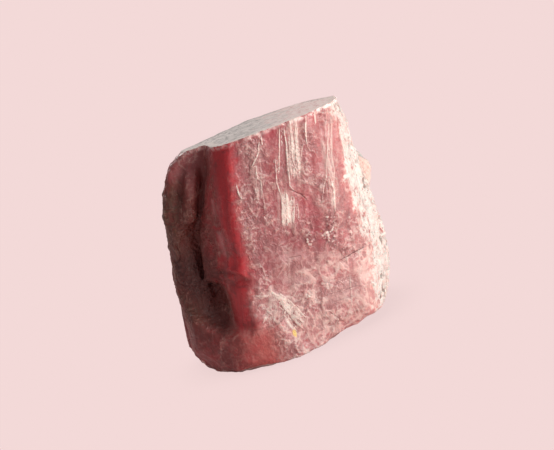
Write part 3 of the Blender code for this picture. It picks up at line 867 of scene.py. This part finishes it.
# ---------------------------------------------------------------- node helpers
class Net:
    """Short ways to add nodes to one tree."""

    def __init__(self, tree):
        self.tree = tree

    def add(self, kind, inputs=None, **settings):
        """A new node with these settings, its inputs linked or set by name or number."""
        node = self.tree.nodes.new(kind)
        for key, value in settings.items():
            setattr(node, key, value)
        self.feed(node, inputs or {})
        return node

    def feed(self, node, inputs):
        """Links a node's inputs to sockets, or sets them to values."""
        for key, value in inputs.items():
            if isinstance(value, bpy.types.NodeSocket):
                self.tree.links.new(value, node.inputs[key])
            else:
                node.inputs[key].default_value = value

    def math(self, operation, a, b=0.0):
        return self.add("ShaderNodeMath", {0: a, 1: b}, operation=operation).outputs[0]

    def mix(self, share, a, b):
        """Colour b over colour a by share."""
        return self.add("ShaderNodeMix", {"Factor": share, 6: a, 7: b}, data_type="RGBA").outputs[2]

    def ramp(self, value, low, high, out_low=0.0, out_high=1.0):
        inputs = dict(enumerate((value, low, high, out_low, out_high)))
        return self.add("ShaderNodeMapRange", inputs, interpolation_type="SMOOTHSTEP").outputs[0]

    def noise(self, place, size, detail=2.0, roughness=0.5, distortion=0.0):
        """Noise with features of that size, in metres."""
        inputs = {"Vector": place, "Scale": 1 / size, "Detail": detail, "Roughness": roughness}
        return self.add("ShaderNodeTexNoise", {**inputs, "Distortion": distortion}).outputs[0]

    def drawn_line(self, side, force):
        """A drawn line from its signed gap, stored from 0 to 1, and its force."""
        gap = self.times(self.math("SUBTRACT", side, 0.5), 2 * FAR_SIDE)
        return self.times(self.ramp(self.math("ABSOLUTE", gap), 1.25, 0.45), force)

    def drawn_out(self, place, stretch):
        """The place with its third axis on the growth axis, along which patterns are stretched."""
        turn = Vector((0, 0, 1)).rotation_difference(Vector(AXIS)).to_euler()
        inputs = {"Vector": place, "Rotation": turn, "Scale": (1, 1, stretch)}
        return self.add("ShaderNodeMapping", inputs, vector_type="TEXTURE").outputs[0]

    def times(self, *factors):
        """The product of the factors."""
        result = factors[0]
        for factor in factors[1:]:
            result = self.math("MULTIPLY", result, factor)
        return result

    def total(self, *parts):
        """The sum of the parts, each the product of its own factors."""
        result = self.times(*parts[0])
        for part in parts[1:]:
            result = self.math("ADD", result, self.times(*part))
        return result

    def painted(self, colour, *layers):
        """The colour under layers (share, strength, paint)."""
        for share, strength, paint in layers:
            colour = self.mix(self.times(share, strength), colour, paint)
        return colour

    def attribute(self, name):
        return self.add("ShaderNodeAttribute", attribute_name=name).outputs["Fac"]

    def place(self):
        """The place in metres, and its three coordinates."""
        place = self.add("ShaderNodeTexCoord").outputs["Object"]
        return place, *self.add("ShaderNodeSeparateXYZ", {0: place}).outputs

    def shown(self, sink, lit, seen):
        """Ends the tree with the shader that lights the scene and the one that the camera sees."""
        camera = self.add("ShaderNodeLightPath").outputs["Is Camera Ray"]
        both = self.add("ShaderNodeMixShader", {0: camera, 1: lit, 2: seen})
        self.add(sink, {"Surface": both.outputs[0]})


def new_group(name, kind, inputs, outputs):
    """A new node tree with these sockets, a net for it and the values that come in."""
    tree = bpy.data.node_groups.new(name, kind)
    for way, sockets in (("INPUT", inputs), ("OUTPUT", outputs)):
        for label, value in sockets.items():
            tree.interface.new_socket(label, in_out=way, socket_type="NodeSocket" + value)
    net = Net(tree)
    return tree, net, net.add("NodeGroupInput").outputs


def grain_group():
    """Mineral grain: fine specks, a mottling and a height, from a place and a size."""
    inputs = {"Place": "Vector", "Fineness": "Float"}
    outputs = dict.fromkeys(("Specks", "Mottle", "Height"), "Float")
    _, net, source = new_group("Mineral grain", "ShaderNodeTree", inputs, outputs)
    scaling = {0: source["Place"], "Scale": source["Fineness"]}
    place = net.add("ShaderNodeVectorMath", scaling, operation="SCALE").outputs[0]
    fine = net.noise(place, FINE_GRAIN, 3.0, 0.6)
    coarse = net.noise(place, COARSE_GRAIN, 3.0, 0.55)
    specks = net.ramp(fine, 0.62, 0.70)
    mottle = net.ramp(coarse, 0.35, 0.65)
    height = net.total((fine, 1.0), (coarse, 0.5))
    net.add("NodeGroupOutput", {"Specks": specks, "Mottle": mottle, "Height": height})


def grain(net, place, fineness):
    group = bpy.data.node_groups["Mineral grain"]
    return net.add("ShaderNodeGroup", {"Place": place, "Fineness": fineness}, node_tree=group).outputs


def new_material(name):
    material = bpy.data.materials.new(name)
    material.use_nodes = True
    net = Net(material.node_tree)
    return material, net, material.node_tree.nodes["Principled BSDF"]


def bumped(net, shader, height, distance):
    bump = net.add("ShaderNodeBump", {"Height": height, "Distance": distance})
    net.feed(shader, {"Normal": bump.outputs[0]})


def skin_material(finish):
    """Red corundum under a weathered, striated skin."""
    material, net, shader = new_material("ruby_skin")
    place, x, _, z = net.place()
    along = net.drawn_out(place, DRAWN_OUT)
    mask = {name: net.attribute(name) for name in MASKS}
    cloud = net.noise(place, CLOUD, 3.0, 0.55, 0.4)
    blotch = net.noise(place, BLOTCH, 3.0, 0.6, 0.5)
    mottle = net.noise(place, MOTTLE, 2.0, 0.6, 0.6)
    grains = net.noise(place, GRAINS, 1.0, 0.6, 0.8)
    striae = net.noise(along, STRIAE, 2.0, 0.6)
    silk = net.noise(along, SILK, 3.0, 0.6)
    shift = net.math("SUBTRACT", mottle, 0.5)
    worn = net.total((mask["folds"], 0.8), (grains, 0.5))
    curls = net.ramp(worn, 0.50, 0.70)
    pits = net.ramp(worn, 0.37, 0.27)

    side = net.math("ADD", mask["line_side"], net.times(shift, 0.12))
    lines = net.drawn_line(side, mask["line_force"])
    lines = net.times(lines, net.ramp(mottle, 0.36, 0.52, 0.5, 1.0))
    shade = net.drawn_line(net.math("ADD", side, 0.14), mask["line_force"])
    crack_side = net.math("ADD", mask["crack_side"], net.times(shift, 0.2))
    cracks = net.math("MAXIMUM", net.drawn_line(crack_side, mask["crack_force"]), mask["fissures"])
    sheaf = net.times(mask["sheaf"], net.ramp(striae, 0.48, 0.58))
    bright = net.math("MAXIMUM", lines, net.times(sheaf, 0.8))
    # The upright side's pale crust, partly painted glare of the key light, with a salmon halo at its edge.
    crust = net.total((mask["crust_and_glare"], 1.0), (silk, 1.3), (blotch, 0.8), (grains, 0.8), (mask["folds"], 0.3))
    halo = net.ramp(crust, 1.62, 2.15)
    crust = net.times(net.ramp(crust, 1.92, 2.42), net.ramp(mask["crust_and_glare"], 0.0, 0.2))
    dots = net.ramp(net.total((mask["specks"], 1.0), (shift, 1.4)), 0.66, 0.82)
    grit = net.times(net.ramp(grains, 0.42, 0.34), net.ramp(blotch, 0.46, 0.58))

    upright = net.ramp(x, 0.0045, 0.0095)
    low = net.ramp(z, 0.0125, 0.0060)
    inward = net.ramp(x, -0.0095, -0.0040)
    high = net.ramp(z, 0.0070, 0.0125)
    red = net.mix(net.ramp(cloud, 0.38, 0.62), finish.raspberry, finish.rose)
    red = net.painted(
        red,
        (net.ramp(blotch, 0.46, 0.66), 0.6, finish.crimson),
        (mask["clear"], 0.7, finish.cherry),
        (upright, 0.50, finish.blush),
        (net.times(low, net.ramp(blotch, 0.38, 0.60, 0.3, 1.0)), 0.58, finish.thread),
        (net.ramp(grains, 0.44, 0.34), 0.35, finish.crimson),
        (net.ramp(grains, 0.58, 0.68), 0.30, finish.rose),
    )
    veil = net.times(mask["patina"], net.ramp(net.total((blotch, 0.6), (mottle, 0.4)), 0.38, 0.56, 0.4, 1.0))
    silky = net.painted(
        net.mix(net.ramp(silk, 0.38, 0.60), finish.crimson, finish.garnet),
        (net.ramp(striae, 0.54, 0.64), 0.06, finish.rose),
        (net.ramp(blotch, 0.46, 0.36), 0.5, finish.maroon),
        (mask["pale"], 0.35, finish.lilac),
    )
    # Painted shade on the lobe's edge beside the recess.
    outer_shade = net.ramp(net.total((x, 1.0), (z, -0.30)), -0.0096, -0.0116)
    lobe = net.painted(
        net.mix(net.ramp(blotch, 0.42, 0.58), finish.crimson, finish.lobe),
        (curls, 0.15, finish.ash),
        (mask["pale"], 0.5, finish.lilac),
        (outer_shade, 0.6, finish.hollow_shade),
    )
    foot = net.painted(
        net.mix(inward, finish.foot, finish.ember),
        (net.ramp(blotch, 0.44, 0.62), 0.4, finish.crimson),
        (curls, 0.03, finish.thread),
        (pits, 0.25, finish.maroon),
    )
    dusk = net.painted(
        net.mix(net.ramp(blotch, 0.38, 0.60), finish.column, finish.olive),
        (net.ramp(cloud, 0.50, 0.60), 0.45, finish.lobe),
        (curls, 0.38, finish.ash),
        (net.ramp(z, 0.0190, 0.0212), 0.22, finish.ember),
        (pits, 0.60, finish.hollow_shade),
    )
    # The crust's colour: partly its own pale tone, partly painted glare.
    crust_glare_tone = net.painted(
        finish.crust_glare_tone,
        (net.ramp(silk, 0.54, 0.68), 0.30, finish.salmon),
        (net.ramp(mottle, 0.53, 0.63), 0.40, finish.salmon),
        (net.ramp(grains, 0.58, 0.68), 0.35, finish.blush),
        (curls, 0.5, finish.cream),
        (pits, 0.35, finish.ash),
        (net.ramp(striae, 0.42, 0.34), 0.3, finish.ash),
        (grit, 0.60, finish.ash),
    )
    # Painted glints on the crumbs' tops, and painted shade in the gaps between them.
    crumbs = net.ramp(net.total((mask["lumps"], 0.8), (shift, 3.0)), 0.55, 0.90)
    gaps = net.ramp(mask["lumps"], 0.45, 0.20)
    bed = net.ramp(mask["crumbs"], 0.15, 0.6)
    top = HEIGHT * MM
    rim = net.times(net.ramp(z, top - 0.0006, top - 0.0002), net.ramp(mottle, 0.42, 0.58))
    gold = net.ramp(net.math("ADD", mask["gold"], net.times(shift, 1.6)), 0.35, 0.7)
    colour = net.painted(
        red,
        (veil, 0.75, finish.veil),
        (low, 0.10, finish.petal),
        (net.times(low, net.ramp(worn, 0.44, 0.62)), 0.28, finish.petal),
        (net.times(low, net.ramp(worn, 0.48, 0.34)), 0.25, finish.raspberry),
        (net.times(curls, mask["patina"]), 0.70, finish.thread),
        (net.times(pits, mask["patina"]), 0.3, finish.maroon),
        (net.times(mask["frost"], net.ramp(worn, 0.30, 0.55, 0.35, 1.0)), 0.62, finish.thread),
        (net.times(mask["dull"], net.ramp(worn, 0.66, 0.42, 0.45, 1.0)), 0.62, finish.dust),
        (net.times(curls, mask["clear"]), 0.15, finish.thread),
        (high, 0.26, finish.dust),
        (net.ramp(mask["sheaf"], 0.2, 0.9), 0.45, finish.thread),
        (mask["pale"], 0.85, finish.lilac),
        (mask["band"], 0.97, silky),
        (mask["lobe"], 0.9, lobe),
        (mask["foot"], 0.9, foot),
        (mask["column"], 0.95, dusk),
        # Painted shade in the recess.
        (mask["recess"], 0.88, finish.hollow_shade),
        # Painted shade on the slopes below the recess and the ledge.
        (mask["slope"], 0.82, finish.painted_shade_tone),
        # Crust and painted glare of the upright side, with its halo.
        (halo, 0.30, finish.salmon),
        (crust, net.ramp(z, 0.0225, 0.0180, 0.75, 0.95), crust_glare_tone),
        (mask["stub"], 0.75, finish.salmon),
        # Painted shade between the crumbs, then painted glints on their tops.
        (net.times(bed, gaps), 0.30, finish.maroon),
        (net.times(bed, crumbs), 0.60, finish.cream),
        (net.times(shade, mask["patina"]), 0.3, finish.maroon),
        (bright, 0.80, finish.cream),
        (rim, net.ramp(x, 0.004, 0.009, 0.4, 0.9), finish.petal),
        (cracks, 0.60, finish.maroon),
        (dots, 0.7, finish.speck),
        (gold, 0.85, finish.gold),
    )

    rough = net.ramp(mottle, 0.35, 0.65, 0.26, 0.42)
    dim = net.math("MAXIMUM", mask["recess"], net.math("MAXIMUM", mask["foot"], mask["column"]))
    lively = net.math("MAXIMUM", mask["patina"], net.times(mask["column"], 0.9))
    lively = net.math("MAXIMUM", lively, mask["crumbs"])
    lively = net.times(net.total((lively, 0.8), (0.2,)), net.ramp(mask["pale"], 0.0, 1.0, 1.0, 0.35))
    height = net.total(
        (mask["folds"], lively, 1.2), (grains, lively, 1.7), (bright, 0.5), (striae, 0.5),
        (mottle, lively, 0.9), (blotch, 0.5), (cracks, -1.0),
    )
    bumped(net, shader, height, finish.bump)
    surface = {"Base Color": colour, "Roughness": net.total((rough,), (dim, 0.2)), "IOR": REFRACTION}
    inside = {"Weight": finish.glow, "Radius": SCATTER, "Scale": SCATTER_SIZE}
    net.feed(shader, {**surface, **{"Subsurface " + name: value for name, value in inside.items()}})
    return material


def cap_material(finish):
    """The flat top: grey, granular stone, pinker towards the upright side."""
    material, net, shader = new_material("ruby_cap")
    place, x, y, _ = net.place()
    grains = grain(net, place, 1.0)
    fine = net.noise(place, CAP_FINE, 3.0, 0.7)
    broad = net.noise(place, CAP_BROAD, 3.0, 0.7)
    right = net.total((x, 100.0), (broad, 1.2))
    rim = net.times(net.attribute("rim"), net.ramp(fine, 0.36, 0.50))
    rear = net.ramp(y, -0.001, 0.001)
    colour = net.painted(
        net.mix(grains["Mottle"], finish.cap, finish.cap_light),
        (net.ramp(right, 0.75, 1.45), 1.0, finish.petal),
        (net.ramp(fine, 0.51, 0.61), net.ramp(right, 1.25, 0.60, 0.10, 0.75), finish.cap_dark),
        (net.ramp(fine, 0.49, 0.58), net.ramp(right, 0.8, 1.3, 0.0, 0.40), finish.blush),
        # Painted highlight along the top's front rim.
        (net.times(rim, net.math("SUBTRACT", 1.0, rear)), 0.75, finish.cream),
        # Painted shade along the top's rear rim.
        (net.times(rim, rear), 0.4, finish.cap_dark),
    )
    net.feed(shader, {"Base Color": colour, "Roughness": net.ramp(grains["Height"], 0.4, 1.1, 0.5, 0.7)})
    bumped(net, shader, net.total((grains["Height"], 1.0), (fine, 1.0)), finish.bump)
    return material


def base_material(finish):
    """The broken base: rough grey-pink rock."""
    material, net, shader = new_material("ruby_base")
    place = net.place()[0]
    grains = grain(net, place, 0.8)
    cloud = net.noise(place, BASE_CLOUD, 3.0, 0.6)
    colour = net.painted(
        net.mix(net.ramp(cloud, 0.4, 0.6), finish.veil, finish.foot),
        (grains["Mottle"], 0.5, finish.cap),
        (grains["Specks"], 0.5, finish.speck),
    )
    net.feed(shader, {"Base Color": colour, "Roughness": net.ramp(grains["Height"], 0.4, 1.1, 0.6, 0.8)})
    bumped(net, shader, grains["Height"], finish.bump * 1.2)
    return material


# ---------------------------------------------------------------- properties
def colour_property(name, description, default):
    return FloatVectorProperty(
        name=name, description=description, default=(*default, 1.0), size=4, min=0, max=1, subtype="COLOR"
    )


class StoneSettings(bpy.types.PropertyGroup):
    """Sizes of the stone's mesh and relief."""

    voxel: FloatProperty(
        name="Voxel", description="Size of the fine mesh's cells", default=0.0001, unit="LENGTH"
    )
    melt: IntProperty(
        name="Melting rounds", description="How often the solid's facets are relaxed", default=9, min=0
    )
    recess_melt: IntProperty(
        name="Recess melting rounds", description="How often the recess is relaxed once more",
        default=45, min=0,
    )
    floor_melt: IntProperty(
        name="Floor melting rounds", description="How often the recess's floor is relaxed", default=420, min=0
    )
    crumb_spacing: FloatProperty(
        name="Crumb spacing", description="Least distance between crumbs", default=0.00021, unit="LENGTH"
    )
    crumb_size: FloatProperty(
        name="Crumb size", description="A crumb's usual half width", default=0.00019, unit="LENGTH"
    )
    relief: FloatProperty(
        name="Relief", description="Height of the fine relief, 1 as found", default=1.0, min=0
    )
    triangles: IntProperty(
        name="Triangles", description="Most triangles in the finished mesh", default=194000, min=1000
    )
    seed: IntProperty(name="Seed", description="Varies the fine patterns", default=7)


class FinishSettings(bpy.types.PropertyGroup):
    """Colours and surface values of the stone's materials."""

    raspberry: colour_property("Raspberry", "Main red of the skin", (0.42, 0.095, 0.12))
    rose: colour_property("Rose", "Paler red of the skin", (0.50, 0.17, 0.19))
    crimson: colour_property("Crimson", "Deep red beside the front ridge", (0.40, 0.022, 0.032))
    cherry: colour_property("Cherry", "Clean red windows in the skin", (0.46, 0.055, 0.085))
    # Maroon: cracks and troughs, and the painted shade beside the growth lines and between the crumbs.
    maroon: colour_property("Maroon", "Cracks and troughs", (0.10, 0.018, 0.02))
    blush: colour_property("Blush", "Lighter red towards the upright side", (0.69, 0.30, 0.285))
    veil: colour_property("Veil", "Greyish weathered skin", (0.43, 0.245, 0.24))
    # Cream: growth lines, painted glints on the crumbs and the painted highlight on the top's front rim.
    cream: colour_property("Cream", "Growth lines and crumbs", (0.88, 0.825, 0.75))
    dust: colour_property("Dust", "Duller patches of the skin", (0.30, 0.13, 0.135))
    lilac: colour_property("Lilac", "Pale smooth patches", (0.54, 0.32, 0.32))
    # Pale crust of the upright side, partly painted glare.
    crust_glare_tone: colour_property("Crust_glare", "Crust of the upright side", (0.765, 0.80, 0.765))
    salmon: colour_property("Salmon", "Knob on the upright side", (0.80, 0.52, 0.45))
    foot: colour_property("Foot", "Brown-red of the low foot", (0.145, 0.014, 0.013))
    garnet: colour_property("Garnet", "Lit part of the deep red band", (0.56, 0.038, 0.050))
    ember: colour_property("Ember", "Glowing red of the low foot's inner part", (0.50, 0.115, 0.100))
    lobe: colour_property("Lobe", "Brown-red of the flank's lobe", (0.24, 0.048, 0.044))
    column: colour_property("Column", "Grey-brown of the side column", (0.122, 0.058, 0.043))
    olive: colour_property("Olive", "Olive-brown of the ribs", (0.086, 0.054, 0.032))
    ash: colour_property("Ash", "Pale threads on the dark parts", (0.25, 0.165, 0.130))
    # A dark red: painted shade in the recess and on the lobe's edge beside it, and the dark pits of the
    # column.
    hollow_shade: colour_property("Hollow_shade", "Floor of the recess", (0.155, 0.031, 0.025))
    # Painted shade, the darkest, on the slopes beside the recess.
    painted_shade_tone: colour_property("Painted_shade", "Darkest slopes beside the recess", (0.070, 0.020, 0.018))
    thread: colour_property("Thread", "Winding threads of the veil", (0.735, 0.545, 0.500))
    speck: colour_property("Specks", "Dark rock specks", (0.14, 0.10, 0.08))
    gold: colour_property("Gold", "Small ochre fleck", (0.86, 0.66, 0.20))
    cap: colour_property("Cap", "Grey of the flat top", (0.58, 0.57, 0.54))
    cap_light: colour_property("Light cap", "Light grains of the flat top", (0.80, 0.78, 0.75))
    petal: colour_property("Petal", "Pink-white of the flat top's upright end", (1.0, 0.87, 0.83))
    # Also the painted shade along the top's rear rim.
    cap_dark: colour_property("Dark cap", "Dark grains of the flat top", (0.22, 0.21, 0.20))
    bump: FloatProperty(
        name="Bump", description="Height of the finest relief", default=0.00008, unit="LENGTH"
    )
    glow: FloatProperty(
        name="Glow", description="Share of light that scatters inside the stone", default=0.3, min=0, max=1
    )


class StageSettings(bpy.types.PropertyGroup):
    """Backdrop, lights and camera."""

    backdrop: colour_property("Backdrop", "Plain pale backdrop", (0.896, 0.694, 0.686))
    fill: FloatProperty(name="Fill", description="Strength of the light from all round", default=0.32, min=0)
    glow: FloatProperty(name="Glow", description="Light that the floor itself gives off", default=0.12, min=0)
    key: FloatProperty(name="Key", description="Power of the key light", default=0.058, min=0, unit="POWER")
    rear: FloatProperty(
        name="Rear", description="Power of the rear light", default=0.185, min=0, unit="POWER"
    )
    elevation: FloatProperty(
        name="Elevation", description="Camera's height angle", default=math.radians(12), subtype="ANGLE"
    )
    roll: FloatProperty(
        name="Roll", description="Camera's clockwise roll", default=math.radians(20), subtype="ANGLE"
    )
    distance: FloatProperty(
        name="Distance", description="Camera's distance from its target", default=0.170, unit="LENGTH"
    )
    target: FloatVectorProperty(
        name="Target", description="Where the camera looks", default=(0.00105, 0.00067, 0.0124),
        subtype="TRANSLATION", unit="LENGTH",
    )
    lens: FloatProperty(name="Lens", description="Focal length", default=100.0, min=1, unit="CAMERA")


class CrystalSettings(bpy.types.PropertyGroup):
    """Everything that can be changed about the crystal and its stage."""

    stone: PointerProperty(type=StoneSettings)
    finish: PointerProperty(type=FinishSettings)
    stage: PointerProperty(type=StageSettings)


# ---------------------------------------------------------------- operators
class CRYSTAL_OT_stone(bpy.types.Operator):
    """Build the carved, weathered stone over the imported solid"""

    bl_idname = "crystal.stone"
    bl_label = "Raw ruby"

    def execute(self, context):
        settings = context.scene.crystal
        grain_group()
        skin = skin_material(settings.finish)
        mesh = stone_mesh(settings.stone, skin)
        mesh.materials.clear()
        for material in (skin, cap_material(settings.finish), base_material(settings.finish)):
            mesh.materials.append(material)
        up = read(mesh.polygons, "normal")[:, 2]
        z = read(mesh.polygons, "center")[:, 2] / MM
        slots = np.zeros(len(up), np.int32)
        slots[(up > TOP_LEVEL) & (z > HEIGHT - TOP_DEPTH)] = 1
        slots[(up < BASE_LEVEL) & (z < BASE_DEPTH)] = 2
        mesh.polygons.foreach_set("material_index", slots)
        mesh.shade_smooth()
        stone = bpy.data.objects.new("raw_ruby", mesh)
        context.scene.collection.objects.link(stone)
        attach(stone, BODY)
        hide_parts(NODE)
        return {"FINISHED"}


def backdrop_material(settings):
    """A floor that looks evenly lit, with a soft darkening where the stone touches it."""
    material = bpy.data.materials.new("backdrop")
    material.use_nodes = True
    material.node_tree.nodes.clear()
    net = Net(material.node_tree)
    tint = settings.backdrop
    contact = net.add("ShaderNodeAmbientOcclusion", {"Distance": CONTACT_REACH}, samples=8)
    shade = net.ramp(contact.outputs["AO"], 0.2, 1.0)
    tone = net.mix(shade, tuple(value * CONTACT_TONE for value in tint[:3]) + (1.0,), tint)
    matte = net.add("ShaderNodeBsdfDiffuse", {"Color": tint}).outputs[0]
    glow = net.add("ShaderNodeEmission", {"Color": tint, "Strength": settings.glow}).outputs[0]
    lit = net.add("ShaderNodeAddShader", {0: matte, 1: glow}).outputs[0]
    net.shown("ShaderNodeOutputMaterial", lit, net.add("ShaderNodeEmission", {"Color": tone}).outputs[0])
    return material


def set_world(settings):
    """Even light from all round, and the backdrop's own tone beyond the floor."""
    world = bpy.data.worlds.new("studio")
    world.use_nodes = True
    world.node_tree.nodes.clear()
    net = Net(world.node_tree)
    lit = net.add("ShaderNodeBackground", {"Color": settings.backdrop, "Strength": settings.fill})
    seen = net.add("ShaderNodeBackground", {"Color": settings.backdrop})
    net.shown("ShaderNodeOutputWorld", lit.outputs[0], seen.outputs[0])
    bpy.context.scene.world = world


def add_lamp(name, aim, power, offset, size, colour):
    """An area lamp at the offset from what it aims at."""
    data = bpy.data.lights.new(name, "AREA")
    data.size = size
    data.energy = power
    data.color = colour
    lamp = bpy.data.objects.new(name, data)
    lamp.location = aim + Vector(offset)
    lamp.rotation_euler = (-Vector(offset)).to_track_quat("-Z", "Y").to_euler()
    lamp.visible_camera = False
    bpy.context.scene.collection.objects.link(lamp)


def add_camera(settings):
    """The camera in front of the stone, tipped down and rolled clockwise."""
    tip, roll = settings.elevation, settings.roll
    back = Vector((0, -math.cos(tip), math.sin(tip)))
    right = Vector((1, 0, 0))
    up = right.cross(-back)
    rolled_right = right * math.cos(roll) - up * math.sin(roll)
    rolled_up = up * math.cos(roll) + right * math.sin(roll)
    place = Vector(settings.target) + back * settings.distance
    data = bpy.data.cameras.new("camera")
    data.lens = settings.lens
    data.sensor_width = SENSOR_WIDTH
    data.clip_start, data.clip_end = CLIP
    camera = bpy.data.objects.new("camera", data)
    turn = Matrix((rolled_right, rolled_up, back)).transposed()
    camera.matrix_world = Matrix.Translation(place) @ turn.to_4x4()
    bpy.context.scene.collection.objects.link(camera)
    bpy.context.scene.camera = camera


class CRYSTAL_OT_stage(bpy.types.Operator):
    """Lay the floor and set the lights and the camera"""

    bl_idname = "crystal.stage"
    bl_label = "Stage"

    def execute(self, context):
        settings = context.scene.crystal.stage
        shape = bmesh.new()
        bmesh.ops.create_circle(shape, cap_ends=True, segments=96, radius=FLOOR_RADIUS)
        mesh = bpy.data.meshes.new("floor")
        shape.to_mesh(mesh)
        shape.free()
        floor = bpy.data.objects.new("floor", mesh)
        mesh.materials.append(backdrop_material(settings))
        context.scene.collection.objects.link(floor)
        set_world(settings)
        aim = Vector(settings.target)
        add_lamp("key", aim, settings.key, *KEY_LAMP)
        add_lamp("rear", aim, settings.rear, *REAR_LAMP)
        context.scene.view_settings.view_transform = "Standard"
        add_camera(settings)
        return {"FINISHED"}


class CRYSTAL_PT_panel(bpy.types.Panel):
    """Lists the operators and the values they use"""

    bl_idname = "CRYSTAL_PT_panel"
    bl_label = "Raw ruby crystal"
    bl_space_type = "VIEW_3D"
    bl_region_type = "UI"
    bl_category = "Crystal"

    def draw(self, context):
        for group, operator in (("stone", "crystal.stone"), ("finish", None), ("stage", "crystal.stage")):
            box = self.layout.box()
            settings = getattr(context.scene.crystal, group)
            for name in settings.bl_rna.properties.keys():
                if name not in ("rna_type", "name"):
                    box.prop(settings, name)
            if operator:
                box.operator(operator)


CLASSES = (
    StoneSettings, FinishSettings, StageSettings, CrystalSettings, CRYSTAL_OT_stone, CRYSTAL_OT_stage,
    CRYSTAL_PT_panel,
)


def register():
    for kind in CLASSES:
        bpy.utils.register_class(kind)
    bpy.types.Scene.crystal = PointerProperty(type=CrystalSettings)


def unregister():
    del bpy.types.Scene.crystal
    for kind in reversed(CLASSES):
        bpy.utils.unregister_class(kind)


def main():
    register()
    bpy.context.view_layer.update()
    bpy.ops.crystal.stone()
    bpy.ops.crystal.stage()


if __name__ == "__main__":
    main()
